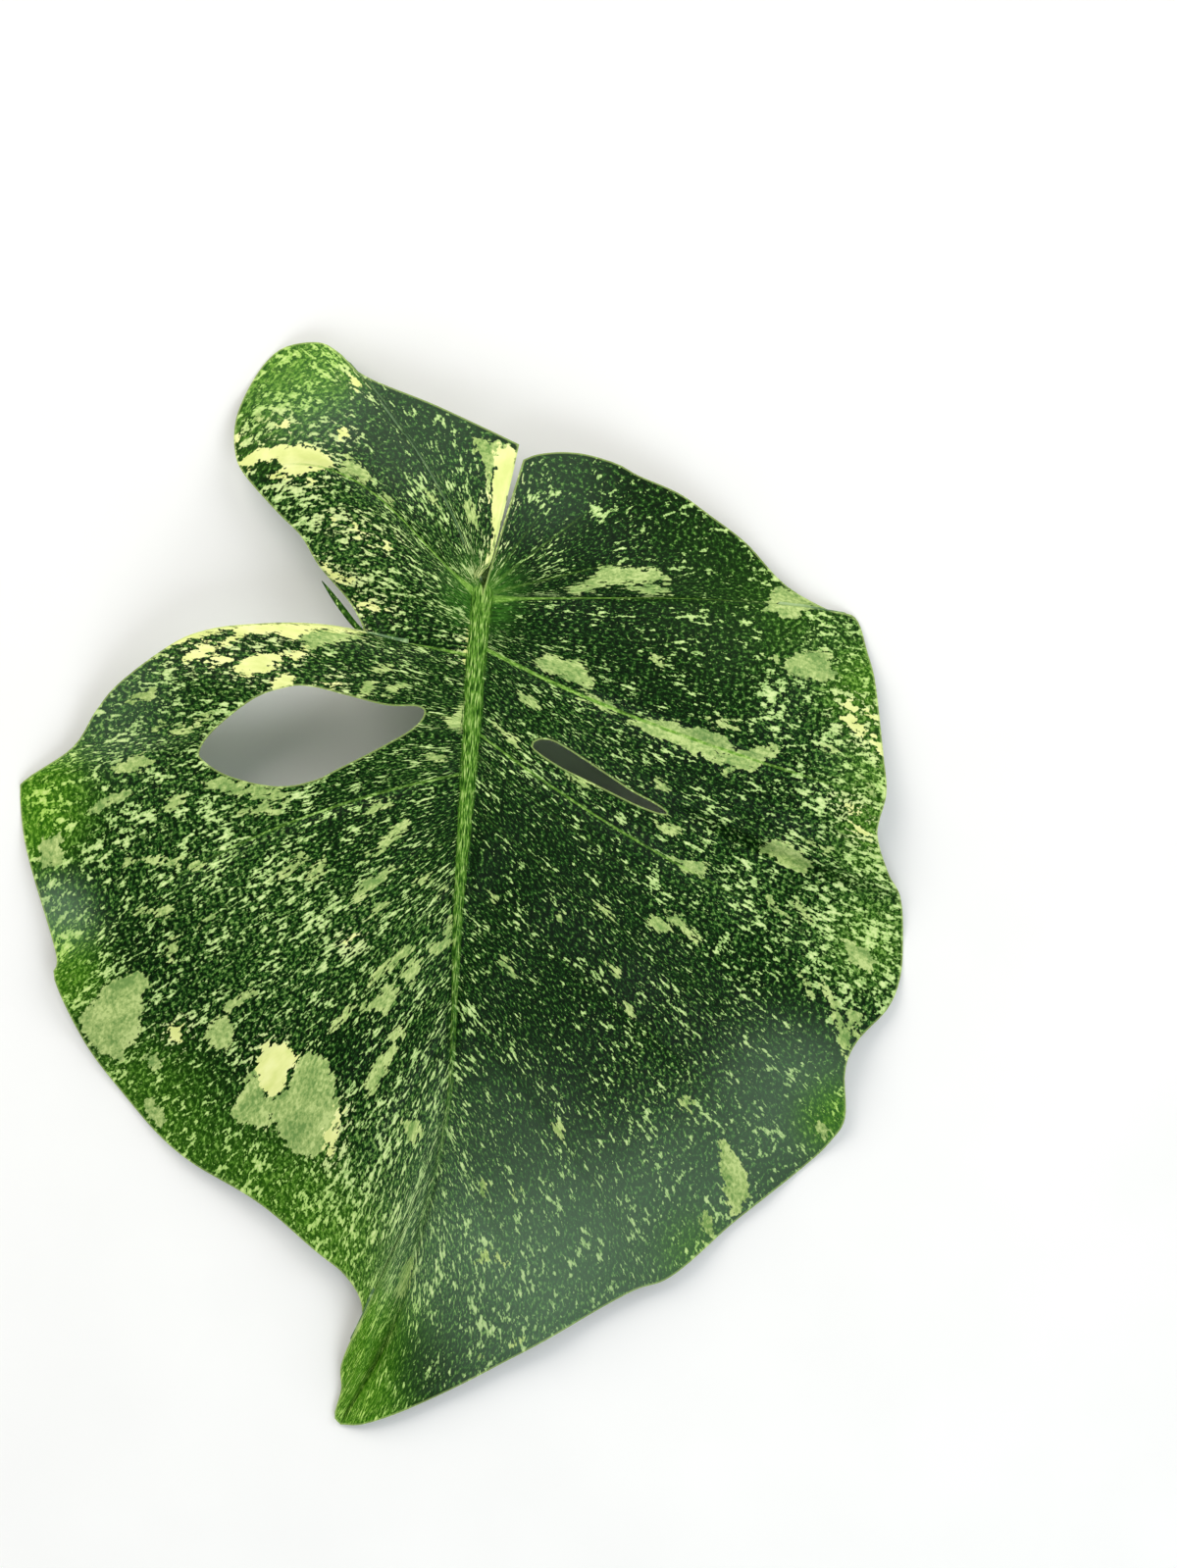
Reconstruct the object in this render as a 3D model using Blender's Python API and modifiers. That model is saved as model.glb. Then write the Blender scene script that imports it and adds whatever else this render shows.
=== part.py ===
"""A picked monstera leaf lying face up: a lobed, holed blade with its ribs, and the stalk folded beneath it.

The leaf is drawn in plan in millimetres, with the joint of blade and stalk at the origin and the tip
towards -Y. The blade is a low tent: the joint stands highest, propped by the stalk, and the margins come
down to the surface at the tip, at both sides and at the basal lobe. An empty then stands the whole leaf
on z = 0, centred on the vertical axis.
"""

import bmesh
import bpy
import numpy as np

MM = 0.001
WELD = 0.00001  # metres: points of one mesh closer than this become one

# Blade
LAMINA_THICKNESS = 0.7
CELLS_ACROSS_HALF = 9
FLAT_SHARE = 0.35  # share of the fall from midrib to margin that is a straight slope, so the midrib is a ridge
DROOP_POWER = 2.2  # how late the rest of the fall comes

# Midrib in plan, from the stalk's joint to the tip, and the blade's height along it, by distance along Y.
# The heights here and on the margins are those of the blade's underside above the surface it lies on.
MIDRIB = [
    (0, 0), (-1.8, -17.7), (-3.1, -38.5), (-4.9, -61.9), (-6.5, -82.7), (-7.3, -100.9),
    (-8.6, -126.9), (-10.4, -139.9), (-16.9, -165.9), (-24.7, -191.9), (-38.7, -219.4),
]
MIDRIB_HEIGHT = [(0, 36), (30, 36), (70, 33), (120, 25), (165, 14), (200, 4), (219.4, 0)]

# Margins in plan, from the corner beside the sinus round to the tip
LEFT_MARGIN = [
    (9.2, 39.8), (-11.9, 50.1), (-31.3, 58.4), (-38.4, 64.9), (-44.2, 68.1), (-53.3, 67.3), (-59, 62.9),
    (-63.7, 55.1), (-66.3, 47.3), (-66.3, 39.5), (-63.7, 33), (-54.6, 22.6), (-48.1, 16.1), (-43.2, 8.1),
    (-34.6, -2.1), (-31.2, -9.9), (-37.7, -7.8), (-50.7, -6.8), (-63.7, -7.3), (-72.8, -8.6), (-81.9, -12),
    (-96.2, -22.1), (-102.7, -29.4), (-109.2, -39), (-122.2, -47.6), (-124, -51), (-123, -61.9),
    (-119.6, -74.9), (-113.6, -94.4), (-114.4, -99.6), (-111, -108.7), (-105.3, -119.6), (-97.5, -130),
    (-87.1, -142), (-76.7, -150.3), (-60.6, -159.6), (-44.2, -173.2), (-37.7, -178.4), (-33.3, -184.6),
    (-32.8, -190.6), (-35.9, -196.6), (-38.5, -203.6), (-38.5, -210), (-40.3, -216.8), (-38.7, -219.4),
]
RIGHT_MARGIN = [
    (10.4, 35.8), (14.3, 37.4), (20.8, 38.2), (27.3, 37.6), (35.1, 35.2), (40.3, 32.3), (50.7, 27.9),
    (58.5, 22.6), (68.9, 14.8), (79.3, 3.9), (91, -2.6), (98.3, -4.7), (101.4, -13.8), (103.5, -22.9),
    (105.3, -41), (106, -51.5), (103.5, -61.9), (106.6, -72.3), (110.2, -79.3), (111, -90.5),
    (110.2, -100.4), (106.6, -108.7), (98.3, -117.3), (95.2, -124.8), (95.4, -137.3), (91.5, -144),
    (84.5, -150.8), (66.3, -165.1), (49.4, -179.4), (37.7, -184), (13, -197.9), (-13, -211.4),
    (-31.2, -218.7), (-38.7, -219.4),
]
# Height of each margin, by its place in the list of margin points
LEFT_MARGIN_HEIGHT = [
    (0, 22), (4, 5), (5.5, 0), (8, 4), (11, 13), (13.5, 21), (15, 27), (18, 22), (20, 16), (22, 9),
    (25, 0), (27, 3), (28.5, 6), (30, 4), (32, 0.6), (34, 3), (36, 6), (38, 7), (40, 4), (44, 0),
]
RIGHT_MARGIN_HEIGHT = [
    (0, 23), (2.5, 15), (5, 14), (8, 9), (11, 0), (13, 4), (15, 9), (16, 10), (17, 6), (19, 0),
    (21, 3), (22.5, 7), (24, 4), (26, 0.4), (28, 4), (30, 5), (31.5, 3), (33, 0),
]

# Vein lines from the midrib to both margins. Each gives the mesh cells since the last one, the distance
# of its root down the midrib, its end's place in each margin's list, and its bow towards the sinus near
# the midrib and near the margin, as a share of its length, left and then right.
VEIN_LINES = [
    (0, 0, 0, 0, 0.012, 0.012, 0.0, 0.0),
    (8, 0, 4, 5, 0.12, 0.10, 0.02, 0.0),
    (6, 1, 10, 10.6, 0.16, 0.22, 0.0, 0.03),
    (5, 9, 13.5, 13.4, 0.05, 0.05, -0.01, 0.0),
    (3, 15, 15, 16, 0.0, 0.0, -0.06, -0.03),
    (4, 23, 18, 17.6, 0.0, 0.05, -0.05, -0.04),
    (6, 32, 22, 19.3, 0.03, 0.05, -0.05, -0.04),
    (4, 38, 25, 20.6, 0.05, 0.06, -0.05, -0.04),
    (5, 46, 28, 22.4, 0.08, 0.08, -0.03, -0.03),
    (6, 78, 33, 26, -0.03, -0.03, 0.03, 0.02),
    (6, 127, 36, 28.5, 0.0, 0.0, 0.05, 0.04),
    (5, 165, 39.5, 30, 0.0, 0.0, 0.04, 0.04),
    (4, 200, 42, 31.6, 0.0, 0.0, 0.02, 0.02),
    (3, 219.4, 44, 33, 0.0, 0.0, 0.0, 0.0),
]

# Holes in plan
LEFT_HOLE = [
    (-74.1, -39.8), (-70.2, -34.6), (-59.8, -26.8), (-50.7, -23.7), (-44.2, -23.7), (-35.1, -26),
    (-24.7, -28.6), (-16.9, -28.9), (-15.1, -30.7), (-18.2, -34.6), (-27.3, -39.8), (-37.7, -45),
    (-42.9, -47.6), (-50.7, -49.4), (-58.5, -48.9), (-67.6, -46.3), (-73.6, -42.4),
]
RIGHT_HOLE = [
    (12.8, -38.8), (15.1, -37.4), (19.1, -38.3), (27, -43.2), (38.3, -50.7), (43.9, -53.7),
    (47.5, -56.2), (46.3, -56.6), (39.7, -54.2), (29.6, -49.2), (20.7, -44.8), (14.5, -40.8),
]
HOLE_STEPS = 3  # points of the finished edge to each point of the list
CUTTER_HALF_HEIGHT = 60

# Ribs: radius at the root and at the end. The midrib's centre lies this share of its radius below the top
# face, so it shows on both faces. A lateral rib lies this far under the top face, and shows only beneath.
MIDRIB_RADII = (2.7, 0.6)
MIDRIB_SUNK = 0.62
MIDRIB_POINTS = 24
MIDRIB_END = 208
LATERAL_RADII = (1.2, 0.5)
LATERAL_COVER = 0.15
RIB_SIDES = 8
LATERAL_CELLS = 8  # how many of the mesh cells across a half a lateral rib runs over
# Rows of VEIN_LINES that carry a lateral rib, by side
LEFT_LATERALS = (1, 2, 8, 9, 10)
RIGHT_LATERALS = (1, 2, 4, 7, 9, 10)

# Swelling under the joint, where all the basal veins meet: its half-sizes, and its centre's place along the
# leaf and depth below the blade's top face
JOINT_HALF_SIZES = (3.4, 3.4, 2.8)
JOINT_BACK = 0.5
JOINT_DEPTH = 2.0
JOINT_SEGMENTS = (14, 9)

# Stalk: centreline and radius, from under the joint, round the swollen knuckle and back beneath the midrib
STALK = [
    (0.2, 1.8, 30.3, 4.0), (0.2, 6.0, 27.0, 4.3), (0.0, 9.2, 21.8, 4.3), (0.0, 9.6, 15.6, 4.2),
    (-0.3, 6.2, 9.8, 4.0), (-0.8, -1.0, 5.6, 3.7), (-1.6, -12, 3.75, 3.5), (-3, -32, 3.4, 3.4),
    (-5, -60, 3.3, 3.3), (-7.5, -90, 3.3, 3.3), (-10, -120, 3.2, 3.2), (-13, -150, 3.1, 3.1),
]
STALK_STEPS = 4
STALK_SIDES = 16
STALK_SHARP_ANGLE = 50  # degrees: only the edges of the cut ends are sharper


def clear_scene():
    for item in list(bpy.data.objects):
        bpy.data.objects.remove(item, do_unlink=True)


def new_collection(name):
    group = bpy.data.collections.new(name)
    bpy.context.scene.collection.children.link(group)
    return group


def principled(name, colour, roughness):
    material = bpy.data.materials.new(name)
    material.use_nodes = True
    shader = material.node_tree.nodes["Principled BSDF"]
    shader.inputs["Base Color"].default_value = (*colour, 1.0)
    shader.inputs["Roughness"].default_value = roughness
    shader.inputs["Metallic"].default_value = 0.0
    return material


def through(points, at):
    """The smooth open curve through the points, read at places counted in points (Catmull-Rom)."""
    points = np.asarray(points, float)
    ends = np.vstack([2 * points[0] - points[1], points, 2 * points[-1] - points[-2]])
    first = np.clip(np.floor(at).astype(int), 0, len(points) - 2)
    t = (np.asarray(at) - first)[..., None]
    a, b, c, d = (ends[first + step] for step in range(4))
    return 0.5 * (2 * b + (c - a) * t + (2 * a - 5 * b + 4 * c - d) * t**2 + (3 * b - a - 3 * c + d) * t**3)


def round_loop(points, steps):
    """The smooth closed curve through the points, with this many points to each span."""
    points = np.asarray(points, float)
    wrapped = np.vstack([points[-1:], points, points[:2]])
    at = 1 + np.arange(len(points) * steps) / steps
    return through(wrapped, at)


def even_steps(knots, values, at):
    """A smooth function through the knots that never overshoots them (monotone cubic)."""
    knots = np.asarray(knots, float)
    values = np.asarray(values, float)
    gaps = np.diff(knots)
    slopes = np.diff(values) / gaps
    product = slopes[:-1] * slopes[1:]
    total = slopes[:-1] + slopes[1:]
    shared = np.where(product > 0, 2 * product / np.where(product > 0, total, 1), 0.0)
    tangents = np.concatenate([slopes[:1], shared, slopes[-1:]])
    first = np.clip(np.searchsorted(knots, at, side="right") - 1, 0, len(gaps) - 1)
    t = (at - knots[first]) / gaps[first]
    start = (1 + 2 * t) * (1 - t) ** 2 * values[first] + t * (1 - t) ** 2 * tangents[first] * gaps[first]
    end = t**2 * (3 - 2 * t) * values[first + 1] + t**2 * (t - 1) * tangents[first + 1] * gaps[first]
    return start + end


def height_at(pairs, at):
    places, heights = zip(*pairs)
    return even_steps(places, heights, at)


def midrib_point(down):
    """The blade's highest line, by distance down the leaf."""
    plan = np.asarray(MIDRIB, float)
    x = even_steps(-plan[:, 1], plan[:, 0], down)
    return np.stack([x, -down, height_at(MIDRIB_HEIGHT, down) + LAMINA_THICKNESS], axis=-1)


def blade_point(row, across):
    """The blade's top face. row runs along VEIN_LINES, and across from -1, left margin, to 1, right margin."""
    table = np.asarray(VEIN_LINES, float)
    order = np.arange(len(table))
    down, left_end, right_end = (even_steps(order, table[:, column], row) for column in (1, 2, 3))
    bows = [even_steps(order, table[:, column], row) for column in (4, 5, 6, 7)]
    is_left = across < 0
    root = midrib_point(down)
    end = np.where(is_left[..., None], through(LEFT_MARGIN, left_end), through(RIGHT_MARGIN, right_end))
    left_height = height_at(LEFT_MARGIN_HEIGHT, left_end)
    right_height = height_at(RIGHT_MARGIN_HEIGHT, right_end)
    end_height = np.where(is_left, left_height, right_height) + LAMINA_THICKNESS
    chord = end - root[..., :2]
    towards_sinus = np.stack([-chord[..., 1], chord[..., 0]], axis=-1) * np.where(is_left, -1, 1)[..., None]
    t = np.abs(across)
    near = 3 * t * (1 - t) ** 2 * np.where(is_left, bows[0], bows[2])
    far = 3 * t**2 * (1 - t) * np.where(is_left, bows[1], bows[3])
    plan = root[..., :2] + chord * t[..., None] + towards_sinus * (near + far)[..., None]
    fall = FLAT_SHARE * t + (1 - FLAT_SHARE) * t**DROOP_POWER
    height = root[..., 2] + (end_height - root[..., 2]) * fall
    return np.concatenate([plan, height[..., None]], axis=-1)


def mesh_rows():
    """Places of the mesh's rows along VEIN_LINES, with the cells that each line asks for."""
    spans = [step + np.arange(line[0]) / line[0] for step, line in enumerate(VEIN_LINES[1:])]
    return np.concatenate(spans + [[len(VEIN_LINES) - 1.0]])


def blade_object(group):
    rows = mesh_rows()
    columns = 2 * CELLS_ACROSS_HALF
    sheet = bmesh.new()
    bmesh.ops.create_grid(sheet, x_segments=columns, y_segments=len(rows) - 1, size=1)
    flat = np.array([vertex.co[:2] for vertex in sheet.verts])
    row = rows[np.rint((1 - flat[:, 1]) / 2 * (len(rows) - 1)).astype(int)]
    for vertex, place in zip(sheet.verts, blade_point(row, flat[:, 0]) * MM):
        vertex.co = place
    bmesh.ops.remove_doubles(sheet, verts=sheet.verts, dist=WELD)
    mesh = bpy.data.meshes.new("leaf_blade")
    sheet.to_mesh(mesh)
    sheet.free()
    mesh.shade_smooth()
    blade = bpy.data.objects.new("leaf_blade", mesh)
    group.objects.link(blade)
    solidify = blade.modifiers.new("lamina", "SOLIDIFY")
    solidify.thickness = LAMINA_THICKNESS * MM
    solidify.offset = -1
    return blade


def as_helper(item, group):
    group.objects.link(item)
    item.hide_render = True
    item.display_type = "WIRE"
    return item


def mesh_of_curve(curve, name):
    """The curve as a closed mesh object of this name, its caps welded to its sides."""
    bpy.context.scene.collection.objects.link(curve)
    bpy.context.view_layer.update()
    mesh = bpy.data.meshes.new_from_object(curve.evaluated_get(bpy.context.evaluated_depsgraph_get()))
    shape = bmesh.new()
    shape.from_mesh(mesh)
    bmesh.ops.remove_doubles(shape, verts=shape.verts, dist=WELD)
    shape.to_mesh(mesh)
    shape.free()
    mesh.name = name
    made = bpy.data.objects.new(name, mesh)
    made.matrix_world = curve.matrix_world
    bpy.data.curves.remove(curve.data)
    return made


def hole_cutter(name, points, group):
    outline = bpy.data.curves.new("outline", "CURVE")
    outline.dimensions = "2D"
    outline.fill_mode = "BOTH"
    outline.extrude = CUTTER_HALF_HEIGHT * MM
    loop = round_loop(points, HOLE_STEPS) * MM
    spline = outline.splines.new("POLY")
    spline.points.add(len(loop) - 1)
    spline.points.foreach_set("co", np.pad(loop, ((0, 0), (0, 2))).ravel())
    spline.use_cyclic_u = True
    return as_helper(mesh_of_curve(bpy.data.objects.new("outline", outline), name), group)


def tube_curve(centres, radii, sides):
    """A round tube along the centres, in millimetres, with a radius at each and filled ends."""
    tube = bpy.data.curves.new("tube", "CURVE")
    tube.dimensions = "3D"
    tube.bevel_depth = MM
    tube.bevel_resolution = sides // 4 - 1  # a resolution of n gives 4 (n + 1) sides
    tube.use_fill_caps = True
    spline = tube.splines.new("POLY")
    spline.points.add(len(centres) - 1)
    spline.points.foreach_set("co", np.pad(np.asarray(centres) * MM, ((0, 0), (0, 1))).ravel())
    spline.points.foreach_set("radius", np.asarray(radii, float))
    return bpy.data.objects.new("tube", tube)


def rib(name, line, radii, depths, group):
    """A tapered rib along a line on the blade's top face, with its centre at these depths below it."""
    centres = line - np.stack([0 * depths, 0 * depths, depths], axis=-1)
    return as_helper(mesh_of_curve(tube_curve(centres, radii, RIB_SIDES), name), group)


def joint_swelling(group):
    ball = bmesh.new()
    bmesh.ops.create_uvsphere(ball, u_segments=JOINT_SEGMENTS[0], v_segments=JOINT_SEGMENTS[1], radius=MM)
    bmesh.ops.scale(ball, vec=JOINT_HALF_SIZES, verts=ball.verts)
    top = midrib_point(0.0)
    centre = (top[0] * MM, (top[1] + JOINT_BACK) * MM, (top[2] - JOINT_DEPTH) * MM)
    bmesh.ops.translate(ball, vec=centre, verts=ball.verts)
    mesh = bpy.data.meshes.new("joint_swelling")
    ball.to_mesh(mesh)
    ball.free()
    return as_helper(bpy.data.objects.new("joint_swelling", mesh), group)


def add_boolean(item, other, operation):
    """A Boolean by the Manifold solver, which joins ribs and lamina where the Exact one returns no mesh."""
    modifier = item.modifiers.new(other.name, "BOOLEAN")
    modifier.operation = operation
    modifier.solver = "MANIFOLD"
    modifier.object = other


def stalk_object(group):
    points = np.asarray(STALK, float)
    path = through(points, np.linspace(0, len(points) - 1, (len(points) - 1) * STALK_STEPS + 1))
    stalk = mesh_of_curve(tube_curve(path[:, :3], path[:, 3], STALK_SIDES), "petiole")
    stalk.data.shade_smooth()
    stalk.data.set_sharp_from_angle(angle=np.radians(STALK_SHARP_ANGLE))
    group.objects.link(stalk)
    return stalk


def stand_on_origin(items, helpers):
    """Parents everything to an empty and moves that, so the leaf stands on z = 0 about the vertical axis."""
    bpy.context.view_layer.update()
    graph = bpy.context.evaluated_depsgraph_get()
    corners = []
    for item in items:
        shape = item.evaluated_get(graph).to_mesh()
        corners += [vertex.co.copy() for vertex in shape.vertices]
        item.evaluated_get(graph).to_mesh_clear()
    corners = np.array(corners)
    low = corners.min(axis=0)
    high = corners.max(axis=0)
    frame = bpy.data.objects.new("leaf_frame", None)
    items[0].users_collection[0].objects.link(frame)
    for item in items + helpers:
        item.parent = frame
    frame.location = (-(low[0] + high[0]) / 2, -(low[1] + high[1]) / 2, -low[2])


def main():
    clear_scene()
    leaf = new_collection("monstera_leaf")
    helpers = new_collection("cutters_and_ribs")

    blade = blade_object(leaf)
    blade.data.materials.append(principled("variegated lamina", (0.045, 0.115, 0.025), 0.38))
    cuts = [hole_cutter("left_hole", LEFT_HOLE, helpers), hole_cutter("right_hole", RIGHT_HOLE, helpers)]
    for cut in cuts:
        add_boolean(blade, cut, "DIFFERENCE")

    line = midrib_point(np.linspace(0, MIDRIB_END, MIDRIB_POINTS))
    radii = np.linspace(*MIDRIB_RADII, MIDRIB_POINTS)
    ribs = [joint_swelling(helpers), rib("midrib", line, radii, MIDRIB_SUNK * radii, helpers)]
    radii = np.linspace(*LATERAL_RADII, LATERAL_CELLS + 1)
    across = np.arange(LATERAL_CELLS + 1) / CELLS_ACROSS_HALF
    for side, name, rows in ((-1, "left", LEFT_LATERALS), (1, "right", RIGHT_LATERALS)):
        for row in rows:
            line = blade_point(np.full(len(across), float(row)), side * across)
            ribs.append(rib(f"{name}_vein_{row}", line, radii, radii + LATERAL_COVER, helpers))
    for each in ribs:
        add_boolean(blade, each, "UNION")

    stalk = stalk_object(leaf)
    stalk.data.materials.append(principled("petiole skin", (0.16, 0.30, 0.07), 0.45))
    stand_on_origin([blade, stalk], cuts + ribs)


main()
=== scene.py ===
# %% [markdown]
# # A picked monstera leaf
#
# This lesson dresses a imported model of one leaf: a broad holed blade, speckled dark green, sage and cream,
# and the stalk folded back beneath it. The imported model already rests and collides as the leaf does, but it
# is made of coarse solids. Here the blade and the stalk are drawn again as fine surfaces in the same place,
# given living finishes, and lit on a pale table under a camera that looks straight down.

import bmesh
import bpy
import mathutils
import numpy as np
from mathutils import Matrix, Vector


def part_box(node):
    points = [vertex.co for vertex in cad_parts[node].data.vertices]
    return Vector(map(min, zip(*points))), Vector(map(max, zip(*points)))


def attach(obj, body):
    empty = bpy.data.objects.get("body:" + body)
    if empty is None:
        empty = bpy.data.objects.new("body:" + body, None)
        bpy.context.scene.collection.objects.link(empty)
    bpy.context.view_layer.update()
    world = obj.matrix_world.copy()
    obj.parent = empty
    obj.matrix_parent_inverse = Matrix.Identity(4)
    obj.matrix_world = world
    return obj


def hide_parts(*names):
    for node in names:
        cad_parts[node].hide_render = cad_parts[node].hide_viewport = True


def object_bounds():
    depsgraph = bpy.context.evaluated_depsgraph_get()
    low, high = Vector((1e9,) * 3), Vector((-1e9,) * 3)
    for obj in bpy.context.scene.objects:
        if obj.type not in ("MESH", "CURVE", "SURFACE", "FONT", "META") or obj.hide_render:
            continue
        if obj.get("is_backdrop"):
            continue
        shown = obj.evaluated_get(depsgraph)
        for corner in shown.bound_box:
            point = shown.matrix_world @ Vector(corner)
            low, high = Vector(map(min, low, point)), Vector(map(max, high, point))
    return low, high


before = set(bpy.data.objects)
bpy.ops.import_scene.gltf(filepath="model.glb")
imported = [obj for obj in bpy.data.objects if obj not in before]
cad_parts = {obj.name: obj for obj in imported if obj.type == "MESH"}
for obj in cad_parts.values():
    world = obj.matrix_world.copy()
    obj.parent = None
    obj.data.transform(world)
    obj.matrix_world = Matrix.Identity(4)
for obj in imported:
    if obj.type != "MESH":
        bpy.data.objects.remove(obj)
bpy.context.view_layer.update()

MM = 0.001  # metres in a millimetre
blade_box = np.array(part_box("leaf_blade")) / MM
print("nodes:", sorted(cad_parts), "blade box in mm:", blade_box.round(1).tolist())

# %% [markdown]
# ## Smooth lines through a few points
#
# A leaf's margin is drawn with a few dozen points. Between them it has to be as smooth as the real
# edge, so the first helper runs a cubic through the points, and the second reads a table of values without
# ever overshooting one, which keeps a height that should be zero at zero.

# %% Curve helpers


def through(points, at):
    """The smooth open curve through the points, at places counted in points: on each span a cubic whose
    slope at a point is half the step from the point before it to the one after it."""
    points = np.asarray(points, float)
    ends = np.vstack([2 * points[0] - points[1], points, 2 * points[-1] - points[-2]])
    first = np.clip(np.floor(at).astype(int), 0, len(points) - 2)
    t = (np.asarray(at) - first)[..., None]
    a, b, c, d = (ends[first + step] for step in range(4))
    return 0.5 * (2 * b + (c - a) * t + (2 * a - 5 * b + 4 * c - d) * t**2 + (3 * b - a - 3 * c + d) * t**3)


def round_loop(points, steps):
    """The same curve closed on itself, with this many places to each span."""
    points = np.asarray(points, float)
    wrapped = np.vstack([points[-1:], points, points[:2]])
    return through(wrapped, 1 + np.arange(len(points) * steps) / steps)


def table_value(pairs, at):
    """Reads (place, value) pairs as a cubic in each gap, with the harmonic mean of the slopes on both sides
    of a pair, or zero where they turn, so the curve never passes a value that it joins."""
    knots, values = (np.array(column, float) for column in zip(*pairs))
    gaps = np.diff(knots)
    slopes = np.diff(values) / gaps
    product = slopes[:-1] * slopes[1:]
    total = slopes[:-1] + slopes[1:]
    shared = np.where(product > 0, 2 * product / np.where(product > 0, total, 1), 0.0)
    tangents = np.concatenate([slopes[:1], shared, slopes[-1:]])
    first = np.clip(np.searchsorted(knots, at, side="right") - 1, 0, len(gaps) - 1)
    t = (at - knots[first]) / gaps[first]
    start = (1 + 2 * t) * (1 - t) ** 2 * values[first] + t * (1 - t) ** 2 * tangents[first] * gaps[first]
    end = t**2 * (3 - 2 * t) * values[first + 1] + t**2 * (t - 1) * tangents[first + 1] * gaps[first]
    return start + end


def ramp(value, low, high):
    """Zero below low, one above high, and a smooth S between them."""
    t = np.clip((value - low) / (high - low), 0, 1)
    return t * t * (3 - 2 * t)


example = [(0, 1), (1, 3), (2, 3)]
print("a table value between its pairs:", table_value(example, np.array([0.5, 1.5])).round(3))

# %% [markdown]
# ## The leaf in plan
#
# The blade is drawn in millimetres with the joint of blade and stalk at the origin and the tip towards -Y:
# its midrib, its two margins from the narrow slit behind the joint round to the tip, and how high each of
# them stands above the table. The leaf is a low tent. The joint is the peak, propped by the stalk, and the
# margins droop, touch the table in four places and lift again between them.

# %% Margins, midrib and heights
MIDRIB = [
    (0, 0), (-1.8, -17.7), (-3.1, -38.5), (-4.9, -61.9), (-6.5, -82.7), (-7.3, -100.9),
    (-8.6, -126.9), (-10.4, -139.9), (-16.9, -165.9), (-24.7, -191.9), (-38.7, -219.4),
]
MIDRIB_HEIGHT = [(0, 36), (30, 36), (70, 33), (120, 25), (165, 14), (200, 4), (219.4, 0)]
LEFT_MARGIN = [
    (9.2, 39.8), (-11.9, 50.1), (-31.3, 58.4), (-38.4, 64.9), (-44.2, 68.1), (-53.3, 67.3), (-59, 62.9),
    (-63.7, 55.1), (-66.3, 47.3), (-66.3, 39.5), (-63.7, 33), (-54.6, 22.6), (-48.1, 16.1), (-43.2, 8.1),
    (-34.6, -2.1), (-31.2, -9.9), (-37.7, -7.8), (-50.7, -6.8), (-63.7, -7.3), (-72.8, -8.6), (-81.9, -12),
    (-96.2, -22.1), (-102.7, -29.4), (-109.2, -39), (-122.2, -47.6), (-124, -51), (-123, -61.9),
    (-119.6, -74.9), (-113.6, -94.4), (-114.4, -99.6), (-111, -108.7), (-105.3, -119.6), (-97.5, -130),
    (-87.1, -142), (-76.7, -150.3), (-60.6, -159.6), (-44.2, -173.2), (-37.7, -178.4), (-33.3, -184.6),
    (-32.8, -190.6), (-35.9, -196.6), (-38.5, -203.6), (-38.5, -210), (-40.3, -216.8), (-38.7, -219.4),
]
RIGHT_MARGIN = [
    (10.4, 35.8), (14.3, 37.4), (20.8, 38.2), (27.3, 37.6), (35.1, 35.2), (40.3, 32.3), (50.7, 27.9),
    (58.5, 22.6), (68.9, 14.8), (79.3, 3.9), (91, -2.6), (98.3, -4.7), (101.4, -13.8), (103.5, -22.9),
    (105.3, -41), (106, -51.5), (103.5, -61.9), (106.6, -72.3), (110.2, -79.3), (111, -90.5),
    (110.2, -100.4), (106.6, -108.7), (98.3, -117.3), (95.2, -124.8), (95.4, -137.3), (91.5, -144),
    (84.5, -150.8), (66.3, -165.1), (49.4, -179.4), (37.7, -184), (13, -197.9), (-13, -211.4),
    (-31.2, -218.7), (-38.7, -219.4),
]
LEFT_MARGIN_HEIGHT = [
    (0, 22), (4, 5), (5.5, 0), (8, 4), (11, 13), (13.5, 21), (15, 27), (18, 22), (20, 16), (22, 9),
    (25, 0), (27, 3), (28.5, 6), (30, 4), (32, 0.6), (34, 3), (36, 6), (38, 7), (40, 4), (44, 0),
]
RIGHT_MARGIN_HEIGHT = [
    (0, 23), (2.5, 15), (5, 14), (8, 9), (11, 0), (13, 4), (15, 9), (16, 10), (17, 6), (19, 0),
    (21, 3), (22.5, 7), (24, 4), (26, 0.4), (28, 4), (30, 5), (31.5, 3), (33, 0),
]
LAMINA_THICKNESS = 0.7
TIP = 219.4  # how far the tip is down the leaf
print("margin points:", len(LEFT_MARGIN), "left and", len(RIGHT_MARGIN), "right")

# %% [markdown]
# ## A grid that follows the veins
#
# A square grid would cut across every vein, and each groove would turn into steps. So the blade is a
# function of two numbers that the plant itself suggests: which vein line a point is on, and how far along
# that line it is from midrib to margin. Every lateral vein then runs exactly along one row of the mesh.

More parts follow.
